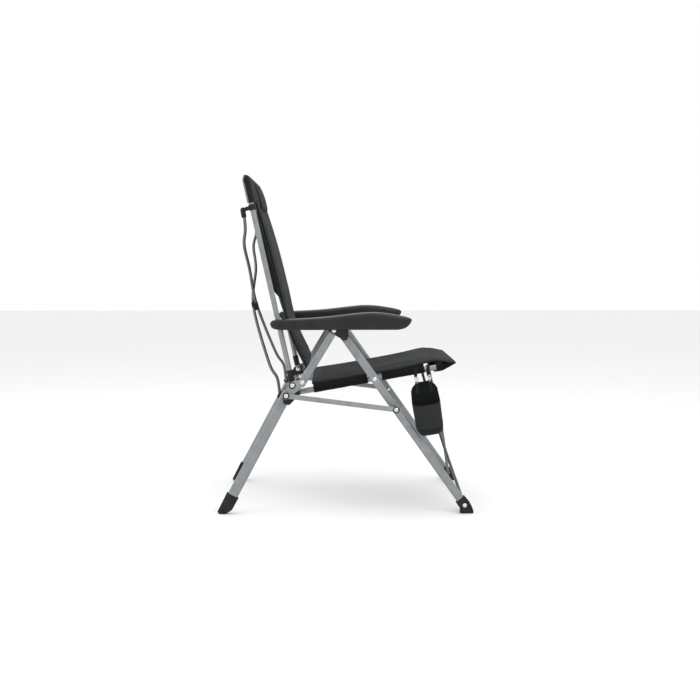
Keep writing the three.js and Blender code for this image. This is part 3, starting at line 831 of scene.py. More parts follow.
# %% Growing a piece from lines
def grown(name, lines, tree, finish, body, slot=None, replaces=(), closed=False, **sizes):
    """Runs a tree over one or more lines of points, and keeps the result as a plain mesh."""
    points, edges = [], []
    for each in lines:
        start, count = len(points), len(each)
        points += [tuple(map(float, p)) for p in each]
        edges += [(start + i, start + i + 1) for i in range(count - 1)]
        edges += [(start + count - 1, start)] if closed else []
    guide = bpy.data.meshes.new(name + "_line")
    guide.from_pydata(points, edges, [])
    made = bpy.data.objects.new(name, guide)
    bpy.context.scene.collection.objects.link(made)
    nodes = made.modifiers.new("grow", "NODES")
    nodes.node_group = tree
    values = dict(sizes, Finish=finish)
    for item in tree.interface.items_tree:
        if item.item_type == "SOCKET" and item.in_out == "INPUT" and item.name in values:
            nodes[item.identifier] = values[item.name]
    made.update_tag()
    apply_modifiers(made)
    bpy.data.meshes.remove(guide)
    smooth(made, 50.0)
    return belongs(made, body, replaces)


def surface_line(place, stations, height):
    return [place(s, t, height) for s, t in stations]

# %% [markdown]
# ## Piping and stitching on the pads
# A covered cord is sewn into the edge of both pads, and a row of stitches runs beside each seam. Both
# lines are taken from the same function that placed the pad's points, so they lie on the cloth.

# %% Edge piping
def rim_of(s_edge, t0, t1, count=60):
    low = [(s_edge, t) for t in np.linspace(t0, t1, count)]
    front = [(s, t1) for s in np.linspace(s_edge, -s_edge, 44)[1:-1]]
    back = [(-s_edge, t) for t in np.linspace(t1, t0, count)]
    rear = [(s, t0) for s in np.linspace(-s_edge, s_edge, 44)[1:-1]]
    return low + front + back + rear

PIPING = dict(closed=True, Radius=0.0024, Sides=10)
seat_rim = surface_line(seat_place, rim_of(1.003, 0.002, 0.999), 0.0)
back_rim = surface_line(back_place, rim_of(1.002, 0.004, 0.998, 90), 0.0)
grown("seat_piping", [seat_rim], rod_tree, binding_cloth, "seat", "seat_cloth", **PIPING)
grown("back_piping", [back_rim], rod_tree, binding_cloth, "back", "back_cloth", **PIPING)
print("piping is", PIPING["Radius"] * 2000, "mm thick")

# %% Stitch rows
def stitched(name, place, rows_of, lift, body, slot):
    lines = [surface_line(place, row, lift) for row in rows_of]
    grown(name, lines, stitch_tree, stitch_thread, body, slot, Step=0.0046, Length=0.0031, Radius=0.00032)


def stitch_rows(s_edge, s_end, t_rows):
    """Two rows along a pad at s_edge from its middle, and one across it at each of t_rows."""
    rows_of = [[(e * s_edge, t) for t in np.linspace(0.02, 0.98, 90)] for e in (1, -1)]
    return rows_of + [[(s, t) for s in np.linspace(-s_end, s_end, 60)] for t in t_rows]

stitched("seat_stitches", seat_place, stitch_rows(BORDER + 0.02, 0.98, [0.868]), 0.0052, "seat",
         "seat_cloth")
stitched("back_stitches", back_place, stitch_rows(BACK_BORDER + 0.02, 0.86, [0.287, 0.829]), 0.0060,
         "back", "back_cloth")
print("stitch rows: 3 on the seat, 4 on the back")

# %% [markdown]
# ## Rail sleeves
# The seat is held by cloth sleeves that the side rails run through. Each sleeve hugs the rail below and
# draws together where it is sewn to the pad above, so its section is a drop. It is left open where the
# legs are pinned to the rail and where the crossed rods are, and its front end closes over the tip.

# %% Sleeves
def sleeve_shape(starts, wall=0.0009, stations=26):
    """A drop-shaped sleeve on the rail; starts are its two ends along the rail."""
    rings = []
    for inner in (0.0, wall):
        half = []
        for forward in np.linspace(*starts, stations):
            ring = []
            for turn in turns(32):
                drop = max(0.0, math.sin(turn)) ** 3
                crease = 0.0003 * math.sin(forward * 260 + 3 * math.sin(forward * 90) + 2 * turn)
                radius = SLEEVE_RADIUS + crease - inner
                x = rail_x + radius * math.cos(turn) * (1 - 0.55 * drop) - 0.009 * drop
                ring.append((x, *on_seat(forward, radius * math.sin(turn) + 0.0085 * drop)))
            half.append(ring)
        rings += half if inner == 0.0 else half[::-1]
    return np.vstack(rings), loft_faces(len(rings), 32, around=True)

SLEEVE_RADIUS = 0.0112
pin_along = float((seat_pin - knuckle) @ rail_run)
cross_along = float((cross_pin - knuckle) @ rail_run)
sleeve_ends = ((0.058, pin_along - 0.022), (pin_along + 0.024, cross_along - 0.018),
               (cross_along + 0.020, seat_front + 0.001))
sleeves = together([sleeve_shape(ends) for ends in sleeve_ends])
pair("rail_sleeve", sleeves, black_cloth, "seat", "seat_cloth")
print("sleeves open at", round(pin_along, 3), "and", round(cross_along, 3), "m along the rail")

# %% [markdown]
# ## Front hem
# In front of the rails the cover turns down and under, and comes back to a straight hem. From the side
# it reads as a dark wedge. It is one thin sheet on a line from the tip back to the rail's end.

# %% Hem
def sheet_shape(line, half, wall=0.0011, count=31):
    """A thin sheet across the chair along a line of (forward, up) points on the seat."""
    run = np.gradient(line, axis=0)
    normal = np.column_stack([-run[:, 1], run[:, 0]]) / np.linalg.norm(run, axis=1)[:, None]
    rings = []
    for s in np.linspace(-half, half, count):
        loop = np.vstack([line, (line + normal * wall)[::-1]])
        rings.append([(s, *on_seat(f, u)) for f, u in loop])
    return np.vstack(rings), loft_faces(count, 2 * len(line))

hem_line = curve_through([(seat_front + 0.044, 0.0015), (seat_front + 0.030, -0.004),
                          (seat_front + 0.012, -0.010), (seat_front - 0.004, -0.0145),
                          (seat_front - 0.028, -0.0135)], 20)
SEWN_IN = 0.004
sewn_half = cloth_half - SEWN_IN
hem = piece_from("front_hem", *sheet_shape(hem_line, sewn_half), black_cloth)
belongs(hem, "seat")
wedge_line = [*hem_line[::3], (seat_front - 0.012, 0.008), (seat_front + 0.02, 0.006)]
wedge = slab_shape([on_seat(f, u) for f, u in wedge_line], cloth_half - 0.006, cloth_half - 0.0045,
                   0.0003, 2)
pair("hem_gusset", wedge, black_cloth, "seat", "seat_cloth")
print("hem is", round(2 * cloth_half, 3), "m wide")

# %% [markdown]
# ## Painted shade strips and the head pocket
# On each side a strip of black cloth runs from the pad's edge to the tube. It is painted shade: a dark sheet
# where the pad's side lies in shadow between the pad and the tube. At the top the cover ends in a pocket
# that slips over both tubes, edged with light piping.

# %% Painted shade strips
TUBE_EDGE, PAINTED_SHADE_LOW, PAINTED_SHADE_HIGH = (0.0072, 0.0075), 0.262, 0.585


def painted_shade_root(up):
    return pad_forward(up) - 0.006


# Painted shade: a black strip from the pad's edge to the tube, where the pad's side lies in shadow.
def painted_shade_strip_shape(wall=0.0010):
    rings = []
    ups = np.linspace(PAINTED_SHADE_LOW, PAINTED_SHADE_HIGH, 40)
    for up in ups:
        base = painted_shade_root(up)
        start = TUBE_EDGE[1] + max(0.0, 0.3 - up) * 0.6
        edge = np.array([(sewn_half, base), (cloth_half + 0.006, base * 0.72 + start * 0.28),
                         (leg_x - 0.0088, start * 0.8 + base * 0.2), (leg_x - TUBE_EDGE[0], start)])
        fold = 0.0006 * math.sin(up * 150)
        line = np.vstack([edge + (fold, 0), (edge + (fold + wall, wall * 0.4))[::-1]])
        rings.append([(x, *on_back(up, forward)) for x, forward in line])
    return np.vstack(rings), loft_faces(len(ups), 8)


# Both strips are painted shade beside the back pad.
for gusset in pair("back_gusset", painted_shade_strip_shape(), black_cloth, "back", "back_cloth"):
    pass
print("painted_shade_strips run from 0.262 to 0.585 m up the tube")

# %% Head pocket
POCKET_LOW, POCKET_TOP, POCKET_TURN, TOP_TAPER = 0.588, 0.677, 0.020, 0.03
turn_start = POCKET_TOP - POCKET_TURN


def top_share(up):
    """0 where the pocket is straight, rising to 1 over its rounded top."""
    return min(1.0, max(0.0, (up - turn_start) / POCKET_TURN))


def pocket_ring(up):
    """A flat loop round both tubes and the pad, at one height on the back."""
    near_top = top_share(up)
    close = max(0.0, 1 - near_top ** 2) ** 0.5
    outer, ring = leg_x + 0.0098, []
    for turn in turns(72):
        c, s = math.cos(turn), math.sin(turn)
        x = outer * boxy(c, 0.16) if abs(c) > 1e-9 else 0.0
        x *= 1 - TOP_TAPER * near_top ** 2
        front = max(0.0150, pad_forward(up) * (1 - abs(c) ** 6) * 0.6 + 0.004)
        depth = (front if s > 0 else 0.0100) * abs(s) ** 0.5
        ring.append((x, *on_back(up, math.copysign(depth, s) * (0.25 + 0.75 * close))))
    return ring

rounding = turn_start + POCKET_TURN * np.sin(np.linspace(0.1, math.pi / 2, 12))
heights = np.concatenate([np.linspace(POCKET_LOW, turn_start, 14), rounding])
pocket_rings = [pocket_ring(up) for up in heights]
pocket = piece_from("head_pocket", np.vstack(pocket_rings), loft_faces(len(heights), 72), slate_webbing)
belongs(pocket, "back")
side_edge = [((leg_x + 0.0088) * (1 - TOP_TAPER * top_share(u) ** 2),
              *on_back(u, -0.0095 + 0.008 * top_share(u) ** 2)) for u in np.linspace(POCKET_LOW, 0.675, 24)]
top_edge = [(x, *on_back(POCKET_TOP - 0.0005, -0.0015)) for x in np.linspace(0.277, -0.277, 60)]
other_edge = [(-x, y, z) for x, y, z in side_edge[::-1]]
grown("pocket_piping", [side_edge + top_edge + other_edge], rod_tree, grey_piping, "back", "back_cloth",
      Radius=0.0021, Sides=10)
print("head pocket has", len(pocket.data.polygons), "faces")

# %% [markdown]
# ## Armrests
# An armrest is a long moulded shell, round in plan at both ends, crowned on top and hollow below, where
# it straddles the back tube and the bracket. A loft of rounded sections gives the outside. The hollow
# is cut with a second, smaller loft, because the wall then keeps an even thickness.

# %% Armrest
arm_low, arm_high = (np.array(corner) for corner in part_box("armrest_left"))
arm_centre, arm_half = (arm_low[0] + arm_high[0]) / 2, (arm_high[0] - arm_low[0]) / 2
arm_length = arm_high[1] - arm_low[1]
arm_top = curve_through([(0.0, 0.001), (0.004, 0.008), (0.02, 0.0132), (0.087, 0.0165),
                         (0.167, 0.0215), (0.262, 0.0322), (0.307, 0.0362), (0.352, 0.0350),
                         (0.395, 0.0290), (0.430, 0.0222), (0.445, 0.0168), (0.448, 0.0130)], 90)
arm_under = curve_through([(0.0, -0.001), (0.004, -0.0100), (0.015, -0.0162), (0.047, -0.0190),
                           (0.2, -0.0190), (0.385, -0.0189), (0.410, -0.0176), (0.428, -0.0120),
                           (0.4395, -0.0030), (0.4465, 0.0068), (0.448, 0.0122)], 90)
arm_rear = arm_pin[0] + 0.027
ARM_POINTS, SHELL_WALL = 44, 0.0038


def arm_section(run, shrink=0.0, top_drop=0.0, floor=None):
    """One ring of the armrest, run metres from its rear end."""
    top = float(np.interp(run, arm_top[:, 0], arm_top[:, 1])) - top_drop
    low = float(np.interp(run, arm_under[:, 0], arm_under[:, 1])) if floor is None else floor
    place = 2 * run / arm_length - 1
    half = (arm_half - shrink) * max(0.08, 1 - abs(place) ** 14) ** 0.45
    ring = []
    for turn in turns(ARM_POINTS):
        c, s = math.cos(turn), math.sin(turn)
        power = 0.42 if s > 0 else 0.22
        x = arm_centre + half * boxy(c, power)
        z = (top + low) / 2 + (top - low) / 2 * boxy(s, power)
        ring.append((x, arm_rear - run, arm_pin[1] + z))
    return ring


def armrest_piece(word, side):
    runs = arm_length * (0.5 - 0.5 * np.cos(np.linspace(0.0, math.pi, 74)))
    runs[-1] = arm_length - 0.0003
    shape = np.vstack([arm_section(r) for r in runs]), loft_faces(len(runs), ARM_POINTS)
    outside = piece_from(f"armrest_shell_{word}", *on_side(shape, side), arm_plastic)
    hollow_runs = np.linspace(-0.02, arm_length - 0.030, 30)
    drops = [0.0065 if r < arm_length - 0.06 else 0.011 for r in hollow_runs]
    hollow = np.array([arm_section(max(0.0, r), SHELL_WALL, drop, -0.06)
                       for r, drop in zip(hollow_runs, drops)])
    hollow[:, :, 1] = (arm_rear - hollow_runs)[:, None]
    hollow_shape = hollow.reshape(-1, 3), loft_faces(len(hollow_runs), ARM_POINTS)
    slot_points = np.array([(x, y, z) for x in (leg_x - 0.011, leg_x + 0.011)
                            for y in (arm_pin[0] - 0.015, arm_pin[0] + 0.06)
                            for z in (arm_pin[1] - 0.06, arm_pin[1] + 0.06)])
    slot_faces = [(0, 1, 3, 2), (4, 6, 7, 5), (0, 4, 5, 1), (2, 3, 7, 6), (0, 2, 6, 4), (1, 5, 7, 3)]
    tools = [piece_from(name, *on_side(cutter, side), arm_plastic)
             for name, cutter in (("cutter", hollow_shape), ("slot_cutter", (slot_points, slot_faces)))]
    for tool in tools:
        cut = outside.modifiers.new("cut", "BOOLEAN")
        cut.object, cut.operation, cut.solver = tool, "DIFFERENCE", "EXACT"
    apply_modifiers(outside)
    for tool in tools:
        bpy.data.objects.remove(tool)
    smooth(outside, 38.0)
    return belongs(outside, "armrests", [f"armrest_{word}"])

for word, side in SIDES:
    shell = armrest_piece(word, side)
    print(shell.name, len(shell.data.polygons), "faces")

# %% [markdown]
# ## Boots, knuckles, brackets and clamps
# These are flat moulded or pressed parts. Each is drawn as an outline in the side plane, its corners cut
# round, and made a slab with a rounded edge, which is how a mould or a press leaves it.

# %% Boots
def from_pin(pin, degrees, distance):
    turn = math.radians(degrees)
    return np.array(pin) + distance * np.array([math.cos(turn), math.sin(turn)])

boot_in, boot_out = layer("front_foot_left")
front_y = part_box("front_foot_left")[0].y
rear_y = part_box("rear_foot_left")[1].y
UP, DOWN = 54.6, -61.8
cuff = from_pin(rear_toe, 180 + DOWN, 0.052)
front_cuffs = from_pin(foot_pin, UP, 0.024), from_pin(foot_pin, UP, 0.026)
front_outline = [(front_y, 0.0), (foot_pin[0] + 0.006, 0.0), (foot_pin[0] + 0.0145, 0.0),
                 from_pin(foot_pin, UP - 90, 0.018), from_pin(front_cuffs[0], UP - 90, 0.0178),
                 from_pin(front_cuffs[1], UP + 90, 0.0165), from_pin(foot_pin, UP + 90, 0.019),
                 from_pin(foot_pin, UP + 125, 0.0215), (front_y, 0.010), (front_y, 0.004)]
rear_outline = [(rear_y - 0.026, 0.0), (rear_y - 0.018, 0.0), (rear_y - 0.007, 0.0), (rear_y, 0.007),
                from_pin(cuff, DOWN + 90, 0.0205), from_pin(cuff, DOWN - 90, 0.0205),
                from_pin(from_pin(rear_toe, 180 + DOWN, 0.01), DOWN - 90, 0.0203)]


def flat_soled(shape):
    points, faces = shape
    points[:, 2] = np.maximum(points[:, 2], 0.0)
    return points, faces

for node, outline, body in (("front_foot", front_outline, "front_frame"),
                            ("rear_foot", rear_outline, "rear_frame")):
    boot = flat_soled(slab_shape(rounded(outline, 3, 0.005), boot_in, boot_out, 0.0024, 6))
    pair(f"{node}_boot", boot, boot_rubber, body, "boot_rubber", node)
print("boots", round((boot_out - boot_in) * 1000, 1), "mm wide")

# %% Knuckle plates, blocks and collars
plate_outline = [from_pin(pin, degrees, radius) for pin, degrees, radius in (
    (stay_back, 20, 0.015), (stay_back, -20, 0.015), (stay_back, -80, 0.014), (stay_back, -140, 0.014),
    (knuckle, 45, 0.002 * 2 ** 0.5), (strut_foot, -150, 0.012), (strut_foot, 160, 0.012),
    (strut_foot, 100, 0.012), (back_pin, 90, 0.013), (back_pin, 30, 0.013))]
block_outline = [from_pin(stay_back, degrees, radius) for degrees, radius in (
    (25, 0.014), (-30, 0.015), (-75, 0.028), (-108, 0.032))]
block_outline += [knuckle + step for step in ((-0.017, 0.002), (-0.006, 0.017), (-0.001, 0.038),
                                              (0.018, 0.039))]
for node, outline, finish, slot_name, edge in (
    ("knuckle_plate", plate_outline, plate_coat, "plate_metal", 0.0009),
    ("knuckle_block", block_outline, fitting_plastic, "black_plastic", 0.0015),
):
    shape = slab_shape(rounded(outline), *layer(f"{node}_left"), edge)
    pair(f"{node}_part", shape, finish, "rear_frame", slot_name, node)
foot = tube_shape(on_back(0.012, 0), on_back(0.048, 0), leg_x, 0.02001, 0.0200, 0.0013)
cap = tube_shape(on_back(0.652, 0), on_back(0.6615, 0), leg_x, 0.0185, 0.01849, 0.008)
pair("tube_fittings", together([foot, cap]), fitting_plastic, "back", "black_plastic")
print("knuckle outline has", len(rounded(plate_outline, 2)), "points")

# %% Arm brackets
bracket_run = math.degrees(math.atan2(*(strut_top - arm_joint)[::-1]))
bracket_end = from_pin(strut_top, bracket_run, 0.007)
bracket_inner, bracket_outer = layer("arm_bracket_left")
cheek = strap_outline(arm_joint, bracket_end, 0.013)
shield = rounded([from_pin(arm_joint, -60, 0.0145), from_pin(arm_joint, -10, 0.0135),
                  from_pin(strut_top, 0, 0.019), from_pin(strut_top, 45, 0.018),
                  arm_joint + (-0.0125, 0.026), from_pin(arm_joint, 175, 0.0145),
                  from_pin(arm_joint, -120, 0.0150)], 3, 0.007)
tie = [from_pin(from_pin(strut_top, bracket_run, d), bracket_run + a, r)
       for d, a, r in ((0.0184, 90, 0.008), (0.0205, 90, 0.007), (0.0205, -90, 0.007), (0.0184, -90, 0.008))]
bracket = together([slab_shape(cheek, bracket_inner, leg_layer[0] - 0.0007, 0.001),
                    slab_shape(shield, bracket_outer - 0.004, bracket_outer, 0.0012),
                    slab_shape(tie, bracket_inner, bracket_outer, 0.0004, 2)])
pair("arm_bracket_part", bracket, fitting_plastic, "arm_brackets", "black_plastic", "arm_bracket")
print("bracket leans", round(bracket_run, 1), "degrees")

# %% [markdown]
# ## Rivets and washers
# Every joint is a tubular rivet with a domed head, and black nylon washers keep the painted parts apart.
# Each rivet is turned on its own axis: its length is the length of the solid it stands for.

# %% Turned heads
DOME = [(0.0, 0.0003), (0.0001, 0.0028), (0.0006, 0.0046), (0.0013, 0.0058), (0.0020, 0.0067),
        (0.0024, 0.0070)]
SHANK, NECK = 0.004, 0.0032


def rivet_shape(node):
    """A domed rivet as long as the solid it stands for; the short studs have one head only."""
    low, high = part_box(node)
    start, end = low.x, high.x
    if "stay_back" in node or "strut" in node:
        profile = [(start, 0.0003), (start, SHANK), (start + 0.001, SHANK)]
    else:
        profile = [(start + x, r) for x, r in DOME] + [(start + NECK, SHANK)]
    profile += [(end - NECK, SHANK)] + [(end - x, r) for x, r in DOME[::-1]]
    return turned_shape(profile, middle_of(node))


def both(shape):
    return [on_side(shape, side) for _, side in SIDES]


def rivet_nodes(names):
    return [f"{name}_{word}" for name in names for word, _ in SIDES]

rivets = {"front_frame": ("foot_rivet", "seat_rivet", "stay_front_rivet", "arm_joint_rivet"),
          "rear_frame": ("rail_rivet", "strut_rivet", "back_rivet"), "stays": ("stay_back_rivet",),
          "arm_brackets": ("strut_top_rivet",)}
for body, names in rivets.items():
    shapes = [shape for name in names for shape in both(rivet_shape(f"{name}_left"))]
    piece_from(f"{body}_rivets", *together(shapes), rivet_bright, body, "rivet_metal", rivet_nodes(names))
piece_from("arm_pin_caps", *together(both(rivet_shape("arm_rivet_left"))), fitting_plastic, "back",
           "black_plastic", rivet_nodes(["arm_rivet"]))


def washer_shape(node, thickness=0.0007, radius=0.0108, bore=0.0045):
    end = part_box(node)[1].x - DOME[-1][0]
    profile = [(end - thickness, bore), (end - thickness, radius - 0.0006),
               (end - thickness * 0.6, radius), (end - thickness * 0.2, radius),
               (end, radius - 0.0008), (end, bore)]
    return turned_shape(profile, middle_of(node), 32, around=True)

for body, name in (("front_frame", "stay_front_rivet"), ("stays", "stay_back_rivet"),
                   ("rear_frame", "back_rivet"), ("arm_brackets", "strut_top_rivet")):
    piece_from(f"{body}_washers", *together(both(washer_shape(f"{name}_left"))), fitting_plastic, body,
               "black_plastic")
print("rivets:", sum(len(names) for names in rivets.values()) * 2)

# %% [markdown]
# ## Crossed rods
# Two pairs of round rods cross behind the back and under the front of the seat, each pair held by a
# plastic clamp. The rear ones are bent to clear a person's back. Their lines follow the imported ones.

# %% Rods and clamps
lug_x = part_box("brace_lug_left")[0].x
arm_inside = leg_layer[0] - 0.012
back_rods = []
for side in (1, -1):
    route = [(lug_x - 0.006, -0.031, -0.050), (lug_x - 0.006, 0.027, -0.046), (0.210, 0.084, -0.063),
             (0.0, 0.265, -0.081 + side * 0.006), (-0.150, 0.387, -0.061), (-0.212, 0.465, -0.056),
             (-arm_inside, 0.513, -0.038), (-arm_inside, 0.564, -0.031)]
    back_rods.append(curve_through([(side * x, *on_back(up, forward)) for x, up, forward in route], 120))
grown("back_rods", back_rods, rod_tree, rod_coat, "back", "tube_metal",
      ["back_cross_rod_left", "back_cross_rod_right"], Radius=0.005, Sides=16)
front_top = cross_pin + (0.0, -0.015)
front_middle = (foot_pin + front_top) / 2
front_lean = math.degrees(math.atan2(*(front_top - foot_pin)[::-1]))
front_rods = []
for side in (1, -1):
    middle_point = from_pin(front_middle, front_lean + 90, side * 0.006)
    front_rods.append(curve_through([(side * (leg_layer[0] - 0.014), *foot_pin), (0.0, *middle_point),
                                     (-side * (rail_layer[0] - 0.007), *front_top)], 60))
grown("front_rods", front_rods, rod_tree, rod_coat, "front_cross", "tube_metal",
      ["front_cross_rod_left", "front_cross_rod_right"], Radius=0.005, Sides=16)


def clamp_outline(centre, degrees, long, wide):
    a = from_pin(centre, degrees, long / 2 - wide / 2)
    b = from_pin(centre, degrees + 180, long / 2 - wide / 2)
    return strap_outline(a, b, wide / 2)

for name, body, centre, degrees in (
    ("back_cross_clamp", "back", on_back(0.265, -0.081), 77.5),
    ("front_cross_clamp", "front_cross", front_middle, front_lean),
):
    outline = clamp_outline(centre, degrees, 0.034, 0.0215)
    shape = slab_shape(outline, -0.013, 0.013, 0.003, 5)
    piece_from(f"{name}_part", *shape, fitting_plastic, body, "black_plastic", [name])
print("rods:", len(back_rods) + len(front_rods))

# %% Brace arms and lugs
collar = tube_shape(on_back(0.565, 0), on_back(0.583, 0), leg_x, 0.0228, 0.0227, 0.0026)
arm_line = curve_through([(arm_inside + 0.006, 0.574, -0.010), (arm_inside + 0.003, 0.574, -0.020),
                          (arm_inside, 0.571, -0.031)], 12)
arm_rings = [[(x + 0.0055 * math.cos(t), *on_back(up + 0.0065 * math.sin(t), forward))
              for t in turns(18)] for x, up, forward in arm_line]
cap_profile = ((0.0, 0.0072), (0.001, 0.0080), (0.024, 0.0080), (0.029, 0.0066), (0.0315, 0.003))
cap_rings = [[(arm_inside + r * math.cos(t),
               *on_back(0.5495 + h, -0.0335 + 0.05 * h + r * math.sin(t))) for t in turns(18)]
             for h, r in cap_profile]
brace = together([collar] + [(np.vstack(rings), loft_faces(len(rings), 18))
                             for rings in (arm_rings, cap_rings)])
lug = slab_shape(strap_outline(back_pin, on_back(-0.031, -0.050), 0.009), *layer("brace_lug_left"), 0.001)
pair("brace_arm_part", brace, fitting_plastic, "back", "black_plastic", "brace_arm")
pair("brace_lug_part", lug, fitting_plastic, "back", "black_plastic", "brace_lug")
print("brace arms at", round(arm_inside, 4))

# %% [markdown]
# ## Pouch
# A bottle pouch hangs outside the right rail. Its back is a stiff panel with a round top, and its front
# is a net pocket that bulges outwards, with a slate base band and a bound edge all round. The shell is
# lofted from half-round sections, because five flat plates would not sag like cloth.

# %% Pouch panel, net and base
pouch_low, pouch_high = (np.array(corner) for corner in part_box("pouch"))
pouch_inner, pouch_outer = -pouch_high[0], -pouch_low[0]
PANEL_TILT = -99.0


def on_pouch(back, down):
    return from_pin(from_pin(pouch_top, PANEL_TILT, down), PANEL_TILT + 90, back)


def pouch_half(down):
    """Half the pouch's width, down metres below its pin line."""
    return float(np.interp(down, [-0.006, 0.0, 0.008, 0.02, 0.06, 0.143, 0.158, 0.165],
                           [0.012, 0.024, 0.034, 0.0405, 0.0435, 0.0415, 0.034, 0.026]))


def pouch_edge(count):
    """The panel's outline as (back, down), down one side and up the other."""
    downs = np.linspace(-0.004, POUCH_BOTTOM, count)
    return [(pouch_half(d), d) for d in downs] + [(-pouch_half(d), d) for d in downs[::-1]]


def pouch_point(out, back, down):
    """A point out from the panel's inner face, on the right side of the chair."""
    return (-(pouch_inner + out), *on_pouch(back, down))

POUCH_BOTTOM = 0.165
panel_outline = [on_pouch(back, down) for back, down in pouch_edge(40)]
panel = slab_shape(np.array(panel_outline), pouch_inner, pouch_inner + 0.0022, 0.0008, 3)
piece_from("pouch_panel", *mirrored(panel), black_cloth, "pouch", "pouch_cloth", ["pouch"])


def pocket_shell(start, end, wall, stand, count=18):
    """The bulging front of the pouch between two heights."""
    rings = []
    for inner in (0.0, wall):
        half = []
        for k in np.linspace(0, 1, count):
            ring = []
            for turn in half_turns:
                dip = 0.006 * math.sin(turn) ** 2 * (1 - k)
                down = (start + dip) * (1 - k) + end * k
                bottom = max(0.0, (down - 0.148) / 0.017)
                depth = pouch_outer - pouch_inner - 0.002
                depth *= (0.80 + 0.20 * min(1, k * 3)) * (1 - 0.45 * bottom ** 2)
                back = (pouch_half(down) - inner + stand) * boxy(math.cos(turn), BAG_CORNER)
                out = (depth - inner + stand) * math.sin(turn) ** BAG_CORNER
                ring.append(pouch_point(PANEL_FACE + out, back, down))
            half.append(ring)
        rings += half if inner == 0.0 else half[::-1]
    return np.vstack(rings), strip_faces(len(rings), len(half_turns))


def strip_faces(rings, count):
    """Joins rings that are open lines into a closed thin shell."""
    faces = []
    for r in range(rings):
        a, b = r * count, (r + 1) % rings * count
        faces += [(a + i, a + i + 1, b + i + 1, b + i) for i in range(count - 1)]
    half = rings // 2
    for i in (0, count - 1):
        for r in range(half - 1):
            low, high = r * count + i, (r + 1) * count + i
            faces.append((low, high, (rings - 2 - r) * count + i, (rings - 1 - r) * count + i))
    return faces

half_turns = np.linspace(0, math.pi, 34)
BAG_CORNER, PANEL_FACE, NET_TOP, NET_BOTTOM, BAND_TOP = 0.55, 0.0015, 0.062, 0.160, 0.128
net, base = pocket_shell(NET_TOP, NET_BOTTOM, 0.0012, 0.0), pocket_shell(BAND_TOP, POUCH_BOTTOM, 0.0015, 0.0007)
piece_from("pouch_net", *net, pouch_net, "pouch", "pouch_cloth")
piece_from("pouch_base", *base, slate_webbing, "pouch", "pouch_cloth")
bottom_ring = np.array([
    pouch_point(PANEL_FACE + 0.018 * math.sin(t) ** BAG_CORNER, 0.026 * boxy(math.cos(t), BAG_CORNER), 0.1645)
    for t in half_turns])
floor_shape = (np.vstack([bottom_ring, bottom_ring + (0, 0, 0.0014)]), loft_faces(2, len(half_turns)))
piece_from("pouch_floor", *floor_shape, black_cloth, "pouch", "pouch_cloth")
print("pouch is", round((pouch_outer - pouch_inner) * 1000, 1), "mm deep")

# %% Pouch binding and stitches
def pocket_line(start, end, stand):
    """The upper edge of the pocket's outside, as a line for a hem or a row of stitches."""
    return pocket_shell(start, end, 0.0012, stand)[0][:len(half_turns)]

edge_line = [pouch_point(0.0012, back, down) for back, down in pouch_edge(50)]
grown("pouch_binding", [edge_line], rod_tree, binding_cloth, "pouch", "pouch_cloth", closed=True,
      Radius=0.0019, Sides=10)
hems = [pocket_line(NET_TOP, NET_BOTTOM, 0.0003), pocket_line(BAND_TOP, POUCH_BOTTOM, 0.0011)]
grown("pouch_hems", hems, rod_tree, binding_cloth, "pouch", "pouch_cloth", Radius=0.0014, Sides=8)
grown("pouch_stitches", [pocket_line(BAND_TOP + 0.005, POUCH_BOTTOM, 0.0009)], stitch_tree, stitch_thread,
      "pouch", "pouch_cloth", Step=0.004, Length=0.0027, Radius=0.0003)
print("binding runs round", len(edge_line), "points")

# %% Straps and hooks
STRAP_OFFSETS, RAIL_SLOPE = {"front": -0.020, "rear": 0.020}, math.radians(10.2)
strap_parts = []
for name, back in STRAP_OFFSETS.items():
    end = on_pouch(back, -0.016)
    rail_low = seat_pin[1] + (seat_pin[0] - end[0]) * math.tan(RAIL_SLOPE)
    outer = -(pouch_inner + 0.018)
    line = curve_through([(-rail_x + 0.009, rail_low + 0.0118), (-rail_x - 0.009, rail_low + 0.0095),
                          (-rail_x - 0.013, rail_low - 0.004), (-rail_x - 0.020, rail_low - 0.018),
                          (outer, end[1] + 0.006)], 26)
    loop = curve_through([(-rail_x + 0.009, rail_low + 0.0118), (-rail_x + 0.0125, rail_low),
                          (-rail_x, rail_low - 0.0122), (-rail_x - 0.0125, rail_low - 0.004)], 18)
    shapes = []
    for path in (line, loop):
        run = np.gradient(path, axis=0)
        normal = np.column_stack([-run[:, 1], run[:, 0]]) / np.linalg.norm(run, axis=1)[:, None]
        ring = np.vstack([path, (path + normal * 0.0014)[::-1]])
        rings = [[(x, end[0] + w, z) for x, z in ring] for w in (-0.005, -0.0025, 0.0025, 0.005)]
        shapes.append((np.vstack(rings), loft_faces(4, len(ring))))
    piece_from(f"pouch_strap_{name}_web", *together(shapes), slate_webbing, "seat", "pouch_cloth",
               [f"pouch_strap_{name}"])
    strap_parts.append((outer, end))

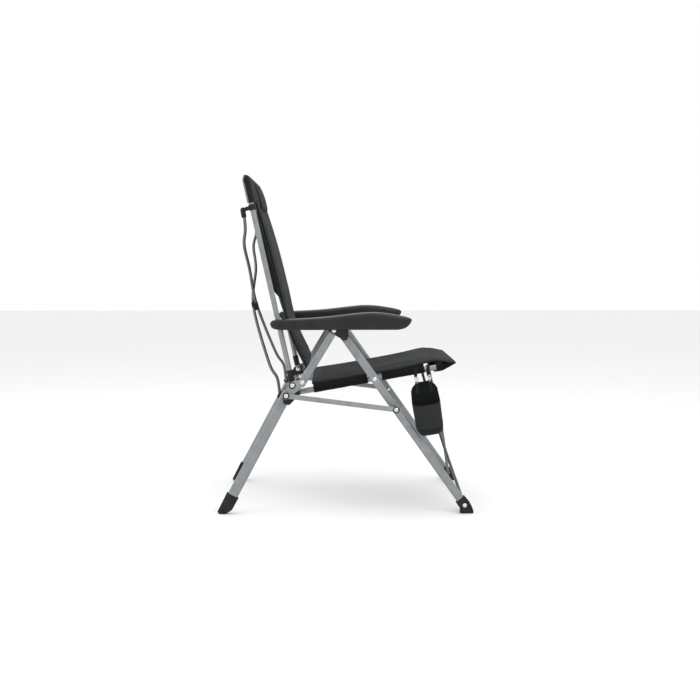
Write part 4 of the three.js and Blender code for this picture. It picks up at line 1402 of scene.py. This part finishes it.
RING_RADIUS = 0.0062
rings_of_wire, hooks = [], []
for outer, end in strap_parts:
    centre = np.array([outer, end[0], end[1] + 0.002])
    rings_of_wire.append([centre + (0.0, RING_RADIUS * math.cos(t), RING_RADIUS * math.sin(t))
                          for t in turns(24)])
    top = np.array([outer, end[0], end[1] - 0.004])
    hooks.append(curve_through([top + (0, y, z) for y, z in (
        (0.0035, -0.002), (0.0035, 0.003), (0.0, 0.0060), (-0.0035, 0.003), (-0.0035, -0.004),
        (0.0, -0.0075))], 26))
grown("strap_rings", rings_of_wire, rod_tree, rivet_bright, "seat", "rivet_metal", closed=True,
      Radius=0.0013, Sides=8)
grown("pouch_hooks", hooks, rod_tree, rivet_bright, "pouch", "rivet_metal", Radius=0.0012, Sides=8)
tabs = []
tab_side, tab_half = np.array([0.0, *from_pin((0.0, 0.0), PANEL_TILT + 90, 1.0)]), (0.0009, 0, 0)
for (outer, end), back in zip(strap_parts, STRAP_OFFSETS.values()):
    path = curve_through([(outer, *on_pouch(back, -0.0095)), (outer + 0.006, *on_pouch(back * 1.05, 0.002)),
                          pouch_point(0.0035, back * 1.1, 0.012), pouch_point(0.0030, back * 1.1, 0.03)], 14)
    across = tab_side * 0.0055
    rings = [[p + across + tab_half, p - across + tab_half, p - across - tab_half, p + across - tab_half]
             for p in path]
    tabs.append((np.vstack(rings), loft_faces(len(path), 4)))
piece_from("pouch_tabs", *together(tabs), slate_webbing, "pouch", "pouch_cloth")
print("straps end", [part[1].round(3).tolist() for part in strap_parts])

# %% [markdown]
# ## Floor
# The chair stands on a plain pale floor that fades into the world's colour.

# %% Floor
FLOOR_REACH, FLOOR_DROP = 14, -0.0004
corners = ((-1, -1), (1, -1), (1, 1), (-1, 1))
floor_points = [(FLOOR_REACH * x, FLOOR_REACH * y, FLOOR_DROP) for x, y in corners]
floor_paint = material("floor_paint", lambda w, p: w.noise(p, 3.0).blend((0.86,) * 3, (0.88,) * 3),
                       lambda w, p: w.noise(p, 9.0) * 0.05 + 0.8)
floor = piece_from("floor", floor_points, [(0, 1, 2, 3)], floor_paint)
floor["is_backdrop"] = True

# %% Sizes, and the end
def as_lists(box):
    return [[round(float(v), 5) for v in corner] for corner in box]

made_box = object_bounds()
print("solid model", as_lists(cad_box), "visual model", as_lists(made_box))
for made_corner, cad_corner in zip(made_box, cad_box):
    print("difference in mm:", [round((a - b) * 1000, 1) for a, b in zip(made_corner, cad_corner)])
